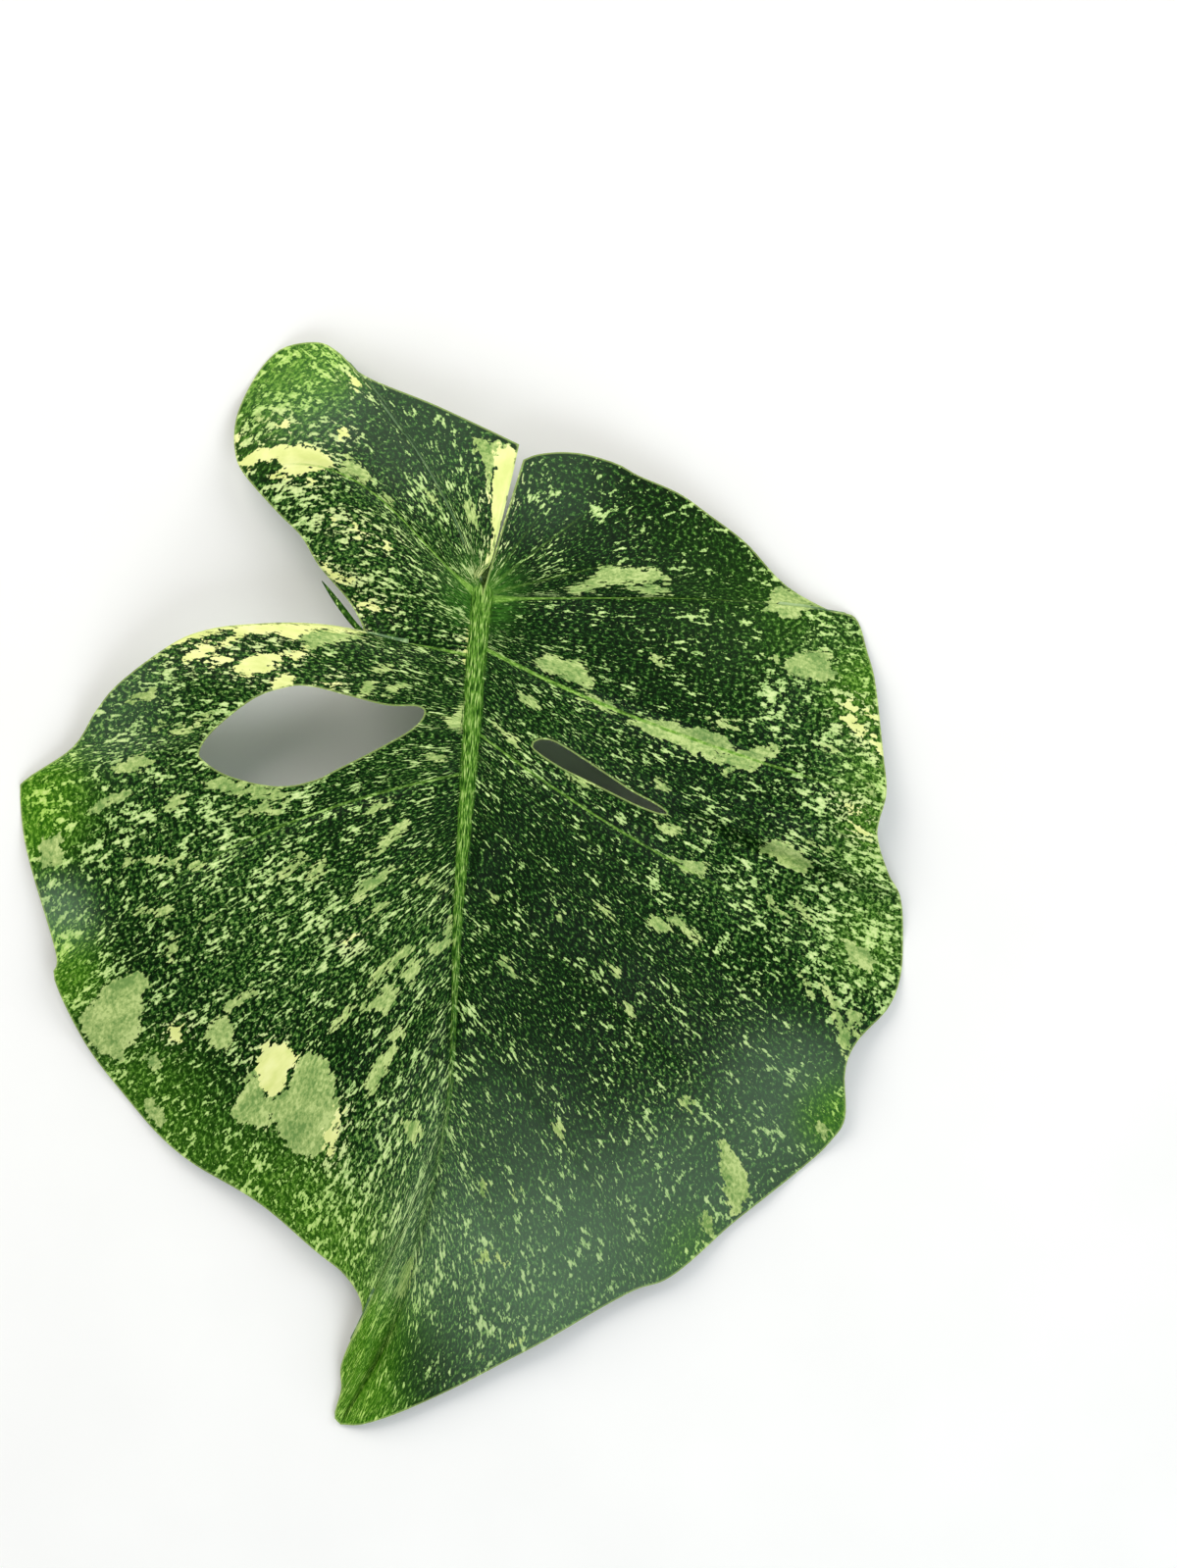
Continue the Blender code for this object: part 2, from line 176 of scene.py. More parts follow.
# %% Vein lines and the blade's surface
# For each line: the distance of its root down the midrib, its end's place in the left and in the right
# margin's list, and its bow towards the slit near the midrib and near the margin, left and then right, as a
# share of its length.
VEIN_LINES = [
    (0, 0, 0, 0.012, 0.012, 0.0, 0.0),
    (0, 4, 5, 0.12, 0.10, 0.02, 0.0),
    (1, 10, 10.6, 0.05, 0.34, 0.01, 0.04),
    (9, 13.5, 13.4, 0.05, 0.05, -0.01, 0.0),
    (15, 15, 16, 0.0, 0.0, -0.06, -0.03),
    (23, 18, 17.6, 0.0, 0.05, -0.05, -0.04),
    (32, 22, 19.3, 0.03, 0.05, -0.05, -0.04),
    (38, 25, 20.6, 0.05, 0.06, -0.05, -0.04),
    (46, 28, 22.4, 0.08, 0.08, -0.03, -0.03),
    (75, 33, 26, -0.03, -0.03, 0.03, 0.02),
    (110, 36, 28.5, 0.0, 0.0, 0.06, 0.03),
    (142, 39.5, 30, 0.0, 0.0, 0.06, 0.03),
    (178, 42, 31.6, 0.0, 0.0, 0.03, 0.02),
    (219.4, 44, 33, 0.0, 0.0, 0.0, 0.0),
]
FLAT_SHARE = 0.35  # share of the fall from midrib to margin that is a straight slope
DROOP_POWER = 2.2  # how late the rest of the fall comes


def midrib_x(down):
    """Where the midrib is from side to side, this far down the leaf."""
    return table_value([(-y, x) for x, y in MIDRIB], down)


def blade_point(row, across):
    """The blade's plain upper face. row counts the vein lines, and across goes from -1, the left margin,
    through 0, the midrib, to 1. In plan a line is the chord from its root to its end, plus a cubic bow at
    right angles to it. Its height falls from root to end as 0.35 t + 0.65 t to the power 2.2."""
    down, left_end, right_end, *bows = (
        table_value(list(enumerate(column)), row) for column in zip(*VEIN_LINES)
    )
    is_left = across < 0
    root = np.stack([midrib_x(down), -down], axis=-1)
    root_height = table_value(MIDRIB_HEIGHT, down)
    end = np.where(is_left[..., None], through(LEFT_MARGIN, left_end), through(RIGHT_MARGIN, right_end))
    left_height = table_value(LEFT_MARGIN_HEIGHT, left_end)
    end_height = np.where(is_left, left_height, table_value(RIGHT_MARGIN_HEIGHT, right_end))
    chord = end - root
    towards_slit = np.stack([-chord[..., 1], chord[..., 0]], axis=-1) * np.where(is_left, -1, 1)[..., None]
    t = np.abs(across)
    near = 3 * t * (1 - t) ** 2 * np.where(is_left, bows[0], bows[2])
    far = 3 * t**2 * (1 - t) * np.where(is_left, bows[1], bows[3])
    plan = root + chord * t[..., None] + towards_slit * (near + far)[..., None]
    fall = FLAT_SHARE * t + (1 - FLAT_SHARE) * t**DROOP_POWER
    height = root_height + (end_height - root_height) * fall + LAMINA_THICKNESS
    return np.concatenate([plan, height[..., None]], axis=-1)


print("joint and tip in mm:", blade_point(np.array([0.0, 13.0]), np.zeros(2)).round(1).tolist())

# %% [markdown]
# ## Which lines are veins
#
# A monstera's lateral veins are sunk a little into the upper face and stand out as ribs beneath. Some show
# as a bright yellow-green line, some only as a change of shade. The table says, for each vein, its side, its
# line, how deep it is sunk, half the width of its pale line, how bright that line is, and where it fades.

# %% Lateral veins, and the mesh's rows and columns
LEFT, RIGHT = -1, 1
# side, line, sunk in mm, half-width in mm, brightness, share of its length at which it fades
VEINS = [
    (LEFT, 0.45, 0.15, 0.2, 0.15, 0.65), (LEFT, 1, 0.1, 0.2, 0, 0.7), (LEFT, 1.45, 0.1, 0.2, 0.15, 0.5),
    (LEFT, 2, 0.45, 0.45, 1, 0.8), (LEFT, 2.9, 0.15, 0.2, 0.15, 0.5), (LEFT, 4.15, 0.35, 0.4, 0.9, 0.95),
    (LEFT, 6, 0.15, 0.25, 0.15, 0.5), (LEFT, 8, 0.35, 0.3, 0.55, 0.6), (LEFT, 8.6, 0.15, 0.25, 0.1, 0.6),
    (LEFT, 9, 0.25, 0.3, 0.05, 0.7), (LEFT, 9.6, 0.15, 0.2, 0, 0.6), (LEFT, 10, 0.2, 0.25, 0, 0.7),
    (LEFT, 11, 0.15, 0.2, 0, 0.7),
    (RIGHT, 0.6, 0.15, 0.25, 0.18, 0.5), (RIGHT, 1, 0.3, 0.3, 0.25, 0.6), (RIGHT, 1.5, 0.2, 0.25, 0.25, 0.5),
    (RIGHT, 2, 0.45, 0.42, 0.9, 0.85), (RIGHT, 3.65, 0.75, 0.42, 1, 0.85), (RIGHT, 6.4, 0.4, 0.3, 0.75, 0.55),
    (RIGHT, 7.3, 0.15, 0.22, 0.1, 0.5), (RIGHT, 8.35, 0.15, 0.22, 0.08, 0.5),
    (RIGHT, 9, 0.2, 0.25, 0.05, 0.6),
    (RIGHT, 9.6, 0.15, 0.2, 0, 0.6), (RIGHT, 10, 0.2, 0.25, 0, 0.6), (RIGHT, 11, 0.15, 0.2, 0, 0.6),
]
RIDGE_LINES = {LEFT: (0, 1, 2, 4.15, 8, 9, 10, 11, 13), RIGHT: (0, 1, 2, 3.65, 5.3, 6.4, 9, 10, 11, 13)}
CREASE_LINE = 5.3  # on the right, where the blade folds beyond the long narrow hole
ROW_GAP = 2.25  # mm between rows at the margin
COLUMNS_A_SIDE = 78
COLUMN_POWER = 1.3  # above 1 packs the columns towards the midrib
ROW_SQUEEZE = 0.45  # 0 spaces the rows evenly, and towards 1 they gather at the veins


def blade_rows():
    """Lines at which the mesh has a row. Each gap between two named lines gets as many rows as its longer
    margin needs, gathered at both its ends: at a share u of the gap the row is at u - k sin(2 pi u) / (2 pi),
    where k is ROW_SQUEEZE."""
    named = set(range(len(VEIN_LINES))) | {vein[1] for vein in VEINS} | {CREASE_LINE}
    stations = sorted(named)
    rows = []
    for near, far in zip(stations[:-1], stations[1:]):
        line = np.linspace(near, far, 9)
        margins = [blade_point(line, np.full(9, float(side)))[:, :2] for side in (LEFT, RIGHT)]
        length = max(np.linalg.norm(np.diff(margin, axis=0), axis=1).sum() for margin in margins)
        count = max(3, int(np.ceil(length / ROW_GAP)))
        u = np.arange(count) / count
        rows.append(near + (far - near) * (u - ROW_SQUEEZE * np.sin(2 * np.pi * u) / (2 * np.pi)))
    return np.concatenate(rows + [[stations[-1]]])


rows = blade_rows()
half = np.linspace(0, 1, COLUMNS_A_SIDE + 1) ** COLUMN_POWER
columns = np.concatenate([-half[:0:-1], half])
across = np.broadcast_to(columns, (len(rows), len(columns)))
plain = blade_point(np.broadcast_to(rows[:, None], across.shape), across)
middle = COLUMNS_A_SIDE
print("grid:", plain.shape[:2], "size in mm:", np.ptp(plain.reshape(-1, 3), axis=0).round(1).tolist())

# %% [markdown]
# ## Real distances on the leaf
#
# Grooves, ribs and speckles have sizes in millimetres, while the grid counts lines and shares. So the next
# cell measures the grid: how far each point is from the midrib along its vein line, and how far each line is
# from the one before it. The pattern of the finishes is laid out in these distances too, as a UV map named
# flow, because the speckles of a monstera are drawn out along its veins.

# %% Measure the grid


def running_length(points, axis):
    """Distance along the grid from its first row or column, added up step by step."""
    steps = np.linalg.norm(np.diff(points, axis=axis), axis=-1)
    start = np.zeros_like(np.take(steps, [0], axis=axis))
    return np.concatenate([start, np.cumsum(steps, axis=axis)], axis=axis)


FLOW_COLUMN = 0.55  # the share of the vein lines at which the flow map's distances across them are true
side = np.where(across < 0, LEFT, RIGHT)
along = running_length(plain, axis=1)
along = along - along[:, [middle]]
over = running_length(plain, axis=0)
true_columns = {each: int(np.abs(columns - each * FLOW_COLUMN).argmin()) for each in (LEFT, RIGHT)}
flow_over = np.where(side == LEFT, -40 - over[:, [true_columns[LEFT]]], 40 + over[:, [true_columns[RIGHT]]])


def from_line(line):
    """Signed distance in mm from a vein line, across the lines, positive towards the tip."""
    return over - over[[int(np.abs(rows - line).argmin())]]


print("longest vein line:", round(float(np.abs(along).max()), 1), "mm")

# %% [markdown]
# ## Relief
#
# The leather of the blade is not a smooth tent. The midrib stands above it as a rounded ridge between two
# shallow gutters, each lateral vein is a small valley, and the tissue between two valleys swells. Beyond the
# long hole a fold runs to the right margin: the tissue above it bulges over a deep crease.

# %% Relief of the upper face and of the underside
MIDRIB_HALF_WIDTH = [(0, 2.9), (26, 2.5), (50, 2.1), (80, 1.35), (110, 0.8), (190, 0.45), (TIP, 0.3)]
MIDRIB_RISE = [(0, 0.9), (60, 0.8), (120, 0.45), (200, 0.2), (TIP, 0.0)]
RIB_DEPTH = [(0, 3.6), (100, 2.2), (190, 0.9), (TIP, 0.1)]
SWELL = 1.0  # mm that the tissue rises between two veins
WIDE_FIELD = 22  # mm between two veins at which the swelling is full; it may grow to 1.4 times that
WAVES = [(0.35, 47, 61, 0.2), (0.25, 29, -38, 0.55), (0.15, -21, 33, 0.1)]  # height, lengths in x, y, phase
EDGE_WAVE = (0.3, 23, 5)  # height and length of the margin's ripple, and how far in it reaches, all in mm
FAR = 99.0  # mm, a distance that stands for no vein at all
VALLEY_WIDTH = 1.7  # mm
JOINT_SPREAD = (2.5, 6)  # how many times wider a vein's line grows at the joint, and how far that reaches
GUTTER = (0.3, 1.5, 0.6)  # depth in mm, and place and width in half-widths of the midrib
CREASE_REACH = (0.42, 0.62, 0.85)  # shares of the vein line: where the fold starts, is full, and weakens
CREASE_BULGE = (1.7, 4.2, 3.2)  # height, distance from the crease and width, in mm
CREASE_VALLEY = (1.5, 1.3)  # depth and width in mm
TIP_CALM = 8  # mm round the tip in which the relief dies out
JOINT_KNOB = (2.2, 3.6)  # depth under the joint, and reach, in mm
VEIN_RIB = (2.2, 1.2)  # how many times as deep as its valley a rib stands out, and its width in mm


def midrib_distance(plan):
    """Distance from the midrib in plan: beside it from side to side, and behind the joint from the joint."""
    down = np.clip(-plan[..., 1], 0, TIP)
    behind = np.maximum(plan[..., 1], 0)
    return np.hypot(plan[..., 0] - midrib_x(down), behind), down


def vein_fields():
    """For each grid point its distance from the nearest vein, and that vein's half-width, brightness and
    valley, faded out where the vein ends."""
    nearest = np.full(across.shape, FAR)
    more, reach = JOINT_SPREAD
    joint_spread = 1 + more * np.exp(-((np.hypot(plain[..., 0], plain[..., 1]) / reach) ** 2))
    half_width, light, valley = (np.zeros(across.shape) for _ in range(3))
    for vein_side, line, sunk, wide, bright, fades in VEINS:
        distance = np.where(side == vein_side, np.abs(from_line(line)), FAR)
        fade = 1 - ramp(np.abs(across), 0.7 * fades, min(1.3 * fades, 1.0))
        valley += np.where(side == vein_side, sunk * fade * np.exp(-((distance / VALLEY_WIDTH) ** 2)), 0)
        closer = distance < nearest
        nearest = np.where(closer, distance, nearest)
        half_width = np.where(closer, wide * (1 - 0.5 * np.abs(across)) * joint_spread, half_width)
        light = np.where(closer, bright * fade, light)
    return nearest, half_width, light, valley


def swelling():
    """Between two ridge lines at distances a and b the tissue rises as 4 a b / (a + b) squared."""
    rise = np.zeros(across.shape)
    for each_side, lines in RIDGE_LINES.items():
        for near, far in zip(lines[:-1], lines[1:]):
            a, b = from_line(near), -from_line(far)
            inside = (side == each_side) & (a >= 0) & (b >= 0)
            size = np.minimum((a + b) / WIDE_FIELD, 1.4)
            rise = np.where(inside, size * 4 * a * b / np.maximum(a + b, 0.01) ** 2, rise)
    return SWELL * rise * np.sin(np.pi * np.clip(np.abs(across), 0, 1)) ** 0.7


def crease():
    """The fold on the right: a bulge on the slit side of the crease line, and a narrow valley in it."""
    t = np.abs(across)
    starts, full, weakens = CREASE_REACH
    reach = np.where(side == RIGHT, ramp(t, starts, full) * (1 - 0.5 * ramp(t, weakens, 1.0)), 0)
    distance = from_line(CREASE_LINE)
    height, away, wide = CREASE_BULGE
    bulge = height * np.exp(-(((distance + away) / wide) ** 2))
    depth, narrow = CREASE_VALLEY
    return reach * (bulge - depth * np.exp(-((distance / narrow) ** 2)))


rib_distance, down = midrib_distance(plain)
rib_half = table_value(MIDRIB_HALF_WIDTH, down)
rib_share = rib_distance / rib_half
vein_distance, vein_half, vein_light, vein_valley = vein_fields()
beside_rib = ramp(rib_share, 1.0, 2.2)
rise = table_value(MIDRIB_RISE, down) * np.clip(1 - rib_share**2, 0, 1) ** 0.8
gutter_depth, gutter_place, gutter_width = GUTTER
rise -= gutter_depth * np.exp(-(((rib_share - gutter_place) / gutter_width) ** 2)) * (down > 0)
rise += beside_rib * (swelling() + crease() - vein_valley)
for height, length_x, length_y, phase in WAVES:
    turn = plain[..., 0] / length_x + plain[..., 1] / length_y + phase
    rise += height * beside_rib * np.sin(2 * np.pi * turn)
to_margin = np.abs(along[:, [0]]) * (side == LEFT) + along[:, [-1]] * (side == RIGHT) - np.abs(along)
edge_height, edge_length, edge_reach = EDGE_WAVE
rise += edge_height * np.sin(2 * np.pi * over / edge_length) * np.exp(-np.clip(to_margin, 0, 99) / edge_reach)
to_tip = np.hypot(*np.moveaxis(plain[..., :2] - plain[-1, middle, :2], -1, 0))
rise *= ramp(to_tip, 0, TIP_CALM)
rib_depth = table_value(RIB_DEPTH, down) * np.clip(1 - (0.8 * rib_share) ** 2, 0, 1) ** 0.7
joint_distance = np.hypot(plain[..., 0], plain[..., 1] - 0.5)
knob_depth, knob_reach = JOINT_KNOB
rib_depth += knob_depth * np.exp(-((joint_distance / knob_reach) ** 2))
deeper, rib_width = VEIN_RIB
rib_depth += deeper * vein_valley * np.exp(-((vein_distance / rib_width) ** 2))
print("relief from", rise.min().round(2), "to", rise.max().round(2), "mm")
print("ribs up to", rib_depth.max().round(2), "mm deep")

# %% [markdown]
# ## Two holes and a small window
#
# The blade has a large hole on the left and a long narrow one on the right, grown, not cut, so their edges
# are as smooth as the margin. The faces inside each outline are left out, and the points that then form the
# rough edge are moved to the nearest place on the outline. At the slit the left lobe is drawn back a little,
# which opens a window the size of a grain of rice beside the joint.

# %% Holes
LEFT_HOLE = [
    (-74.1, -39.8), (-70.2, -34.6), (-59.8, -26.8), (-50.7, -23.7), (-44.2, -23.7), (-35.1, -26),
    (-24.7, -28.6), (-16.9, -28.9), (-15.1, -30.7), (-18.2, -34.6), (-27.3, -39.8), (-37.7, -45),
    (-42.9, -47.6), (-50.7, -49.4), (-58.5, -48.9), (-67.6, -46.3), (-73.6, -42.4),
]
RIGHT_HOLE = [
    (12.8, -38.8), (15.1, -37.4), (19.1, -38.3), (27, -43.2), (38.3, -50.7), (43.9, -53.7),
    (47.5, -56.2), (46.3, -56.6), (39.7, -54.2), (29.6, -49.2), (20.7, -44.8), (14.5, -40.8),
]
WINDOW = (4.6, 2.3, 2.0)  # mm: its distance from the joint, its reach, and how far the lobe is drawn back


def is_inside(plan, outline):
    """Even-odd test: a point is inside if a ray from it towards +X crosses the outline an odd number of
    times."""
    x, y = plan[..., 0, None], plan[..., 1, None]
    x0, y0 = outline.T
    x1, y1 = np.roll(outline, -1, axis=0).T
    crosses = (y0 > y) != (y1 > y)
    where = x0 + (y - y0) * (x1 - x0) / np.where(y1 == y0, 1e-9, y1 - y0)
    return (crosses & (where > x)).sum(axis=-1) % 2 == 1


def nearest_on(plan, outline):
    """For each point the nearest place on the closed outline, and its distance: each side of the outline
    gives the foot of the perpendicular, kept between the side's ends, and the closest of them wins."""
    start, step = outline, np.roll(outline, -1, axis=0) - outline
    share = ((plan[:, None] - start) * step).sum(axis=-1) / np.maximum((step**2).sum(axis=-1), 1e-12)
    foot = start + np.clip(share, 0, 1)[..., None] * step
    distance = np.linalg.norm(plan[:, None] - foot, axis=-1)
    best = distance.argmin(axis=1)
    every = np.arange(len(plan))
    return foot[every, best], distance[every, best]


def surface_normals(points):
    """Unit normals: the cross product of the steps along the rows and down them, or straight up where the
    grid closes to a point."""
    normal = np.cross(np.gradient(points, axis=0), np.gradient(points, axis=1))
    length = np.linalg.norm(normal, axis=-1, keepdims=True)
    normal = np.where(length > 1e-7, normal / np.maximum(length, 1e-7), [0.0, 0.0, 1.0])
    return normal * np.where(normal[..., 2:] < 0, -1, 1)


holes = [round_loop(LEFT_HOLE, 8), round_loop(RIGHT_HOLE, 8)]
height, width = across.shape
index = np.arange(height * width).reshape(height, width)
quads = np.stack([index[:-1, :-1], index[1:, :-1], index[1:, 1:], index[:-1, 1:]], axis=-1).reshape(-1, 4)
flat = plain.reshape(-1, 3).copy()
normals = surface_normals(plain).reshape(-1, 3)
gone = np.zeros(len(quads), bool)
for hole in holes:
    in_hole = is_inside(flat[quads].mean(axis=1)[:, :2], hole)
    gone |= in_hole
    rough = np.intersect1d(quads[in_hole], quads[~in_hole])
    place, _ = nearest_on(flat[rough, :2], hole)
    move = place - flat[rough, :2]
    slope = (normals[rough, :2] * move).sum(axis=-1) / normals[rough, 2]
    flat[rough] += np.column_stack([move, -slope])
quads = quads[~gone]

window_from, window_reach, window_back = WINDOW
near_slit = (side == LEFT) * np.clip(1 - rows[:, None] / 0.9, 0, 1)
pull = near_slit * np.exp(-(((np.hypot(plain[..., 0], plain[..., 1]) - window_from) / window_reach) ** 2))
flat[:, 0] -= window_back * pull.ravel()
print("faces left out for the holes:", int(gone.sum()))

# %% [markdown]
# ## Where the colours lie
#
# The speckling is random, but its character is not: it is dense on the left half and sparse on the dark right
# half. Yellow-green light coming through the thin margins is painted on, and so is a grey sheen towards the
# lower right. Such slow changes are blended from a few zones. The big sage and cream patches are
# outlines in plan, and each point of the mesh stores how deep inside the nearest patch it lies.

# %% Zones of speckle, bloom and glow
# Each zone: x, y, reach in mm, value
DENSITY_ZONES = [  # how much of the tissue is flecks
    (-51, -88, 24, 0.36), (-97, -62, 20, 0.32), (-90, -93, 7, 0.1), (-34, -118, 8, 0.1),
    (-72, -120, 8, 0.16), (-35, -60, 8, 0.14), (-18, -22, 8, 0.2), (-60, -16, 9, 0.3), (-43, 24, 14, 0.38),
    (-19, 42, 10, 0.08), (-50, 57, 9, 0.45), (-57, 35, 4, 0.05), (-7, 24, 7, 0.32), (-14, 10, 8, 0.32),
    (27, 24, 12, 0.1), (13, 28, 6, 0.18), (53, -12, 22, 0.1), (92, -20, 10, 0.46), (74, -28, 9, 0.34),
    (27, -34, 10, 0.28), (69, -57, 12, 0.2), (97, -54, 9, 0.5), (66, -75, 9, 0.39), (100, -90, 9, 0.5),
    (6, -75, 14, 0.1), (27, -101, 20, 0.12), (58, -101, 14, 0.22), (47, -128, 9, 0.32),
    (79, -127, 13, 0.14), (17, -140, 18, 0.12), (58, -158, 12, 0.18), (2, -187, 12, 0.28),
    (-25, -174, 12, 0.44), (-32, -205, 7, 0.3), (-18, -199, 7, 0), (-64, -148, 14, 0.28),
    (-38, -161, 12, 0.46), (-17, -138, 9, 0.42), (-17, -90, 9, 0.37), (-103, -101, 8, 0.34),
    (12, 2, 6, 0.12),
]
PAINTED_SHEEN_ZONES = [  # how strong the painted sheen is, a grey veil
    (30, -115, 20, 0), (15, -172, 17, 0.95), (50, -158, 13, 0.75), (78, -132, 10, 0.75), (5, -140, 12, 0.4),
    (-113, -84, 5, 1.3), (-43, 55, 7, 0.55), (-14, 46, 9, 0.35), (18, 29, 8, 0.35), (-100, -28, 8, 0.45),
    (-8, -188, 9, 0.45), (-19, -200, 6, 0), (-50, -90, 40, 0), (50, -10, 30, 0), (20, -60, 25, 0.03),
    (80, -80, 16, 0),
]
PAINTED_GLOW_ZONES = [  # how much painted light, as if shining through the thin margin, lies here
    (-55, 64, 8, 0.7), (-40, 63, 5, 0.7), (-63, 48, 6, 0.35), (-121, -54, 8, 1), (-112, -99, 6, 0.95),
    (-95, -130, 7, 0.55), (-70, -153, 8, 0.55), (-43, -171, 9, 0.65), (-31, -195, 7, 1), (-35, -210, 7, 1),
    (100, -23, 6, 0.75), (104, -46, 6, 0.55), (92, -137, 5, 1), (101, -90, 6, 0.4), (55, -172, 5, 0.55),
    (-50, -90, 35, 0), (50, -60, 45, 0), (20, -140, 35, 0), (-10, 30, 20, 0), (70, 0, 14, 0.15),
    (-85, -140, 5, 0.6), (-60, -160, 5, 0.6), (-84, -132, 8, 0.45), (-54, -158, 9, 0.6), (102, -64, 5, 0.6),
    (80, -2, 7, 0.4), (-18, -200, 6, 0.1),
]
ELSEWHERE_WEIGHT = 0.08  # the weight of what the leaf is elsewhere, against 1 in the middle of a zone


def blend_zones(plan, zones, elsewhere):
    """The zones' values averaged with weights exp(-d squared / 2 reach squared), and a small constant
    weight for what the leaf is elsewhere."""
    x, y, reach, value = np.array(zones).T
    distance = np.hypot(plan[:, 0, None] - x, plan[:, 1, None] - y)
    weight = np.exp(-(distance**2) / (2 * reach**2))
    return (weight @ value + ELSEWHERE_WEIGHT * elsewhere) / (weight.sum(axis=1) + ELSEWHERE_WEIGHT)


plan = flat[:, :2]
density = blend_zones(plan, DENSITY_ZONES, 0.30)
# Where a sheen and the light coming through the thin margins are painted into the colour
bloom = blend_zones(plan, PAINTED_SHEEN_ZONES, 0.02)
glow = blend_zones(plan, PAINTED_GLOW_ZONES, 0.05)
print("mean density, bloom and glow:", [round(float(each.mean()), 2) for each in (density, bloom, glow)])

# %% Patches
CREAM_PATCHES = [
    [(-57.5, -116.5), (-52, -117.5), (-48.5, -120.5), (-50.5, -123.5), (-52.5, -127.5), (-54.5, -130),
     (-57, -131), (-59, -127.5), (-60, -123), (-58.5, -120)],
    [(-84, -114), (-82, -112.5), (-79, -114), (-80.5, -116), (-83, -116)],
    [(-42, -145.5), (-42, -140.5), (-39, -137.5), (-38.5, -133.5), (-37, -133.5), (-38.5, -139),
     (-40, -147)],
    [(-35.5, -90), (-33, -87), (-33.5, -89.5), (-35, -90.5)],
    [(94.5, -27), (97, -26.5), (98, -29.5), (98, -32.5), (101.5, -36.5), (99.5, -37), (97, -34),
     (93.5, -31), (96.5, -31)],
    [(100.5, -29.5), (104, -31.5), (104.5, -32.5), (101, -31)],
    [(102, -36.5), (104, -36.5), (106, -40.5), (106, -42), (104, -40)],
    [(93, -53), (97, -54.5), (100.5, -57.5), (97, -56)],
    [(96, -59.5), (101, -61.5), (101.5, -63), (97.5, -61.5)],
    [(-66.2, 35), (-61.5, 39), (-54, 40.2), (-47, 39.6), (-40.5, 37), (-39.5, 33.8), (-46.5, 33.4),
     (-50, 32), (-56.5, 31.5), (-53, 34), (-54.5, 36.8), (-59.5, 36.5), (-64.5, 33.5)],
    [(3.5, 39), (6.5, 39), (9, 38.5), (8.5, 32.5), (6.5, 25.5), (5, 18.5), (3.5, 13.5), (2, 9.5), (-0.5, 5),
     (-2, 4.5), (1, 8.5), (3, 14.5), (2.5, 20), (1.5, 21.5), (2, 25.5), (2.5, 31.5)],
    [(-55, 46.5), (-52.5, 46.5), (-50, 44), (-52.5, 44.5)],
    [(-35.5, 58), (-33, 57), (-32, 55), (-34, 55.5)],
    [(-38.5, 44), (-36, 44), (-35.5, 42), (-37.5, 42.5)],
    [(-26, 13.5), (-23.5, 13), (-24.5, 12), (-26, 12.5)],
    [(-32.5, 15.5), (-28.5, 14.5), (-29, 13.5), (-32, 14.5)],
    [(-34, -1), (-30, -2), (-25, -3.5), (-29.5, -3.5), (-33, -2)],
    [(-42.5, 9), (-40.5, 7.5), (-37.5, 4), (-39.5, 4.5)],
    [(-37.5, 5.5), (-33.5, 4.5), (-35, 3.5), (-37, 4.5)],
    [(-47.5, 31.5), (-43.5, 31), (-44.5, 30.5), (-47, 30.5)],
    [(-67, 44), (-65, 43), (-65.5, 41.5), (-67, 42)],
    [(-34, 19.5), (-32.5, 19), (-32.5, 18), (-34, 18)],
    [(-41.5, 21), (-38.5, 20.5), (-39.5, 19.5), (-41.5, 20)],
    [(-90, -14.5), (-76.5, -8.5), (-69, -7), (-53.5, -7), (-38, -7), (-31, -9.5), (-34, -9.5),
     (-41.5, -8.5), (-46.5, -9.5), (-48.5, -11.5), (-51, -10.5), (-55, -9.5), (-61, -9.5), (-65, -11),
     (-67.5, -12.5), (-69, -12.5), (-64.5, -9.5), (-66, -8), (-73, -10), (-83, -13)],
    [(-80, -16.5), (-76.5, -14), (-71.5, -12), (-69, -13), (-73, -15.5), (-76.5, -17)],
    [(-73, -17), (-69, -15.5), (-65, -16), (-68, -18), (-71.5, -18)],
    [(-65.5, -19.5), (-62, -16), (-56.5, -15), (-52, -15), (-53.5, -18), (-57.5, -20), (-62, -20.5)],
    [(-55, -22.5), (-52.5, -21), (-49.5, -20.5), (-47.5, -22.5), (-52, -24.5), (-55, -24.5)],
    [(-51, -16.5), (-48.5, -14.5), (-45.5, -14), (-48, -16.5)],
    [(-42.5, -23), (-37, -22.5), (-39.5, -24)],
    [(-4.5, -17.5), (-4, -12), (-3, -9.5), (-2.5, -15.5), (-3.5, -17.5)],
    [(-83.5, -113.5), (-81.5, -112.5), (-79, -112.5), (-80, -117), (-83, -115.5)],
]
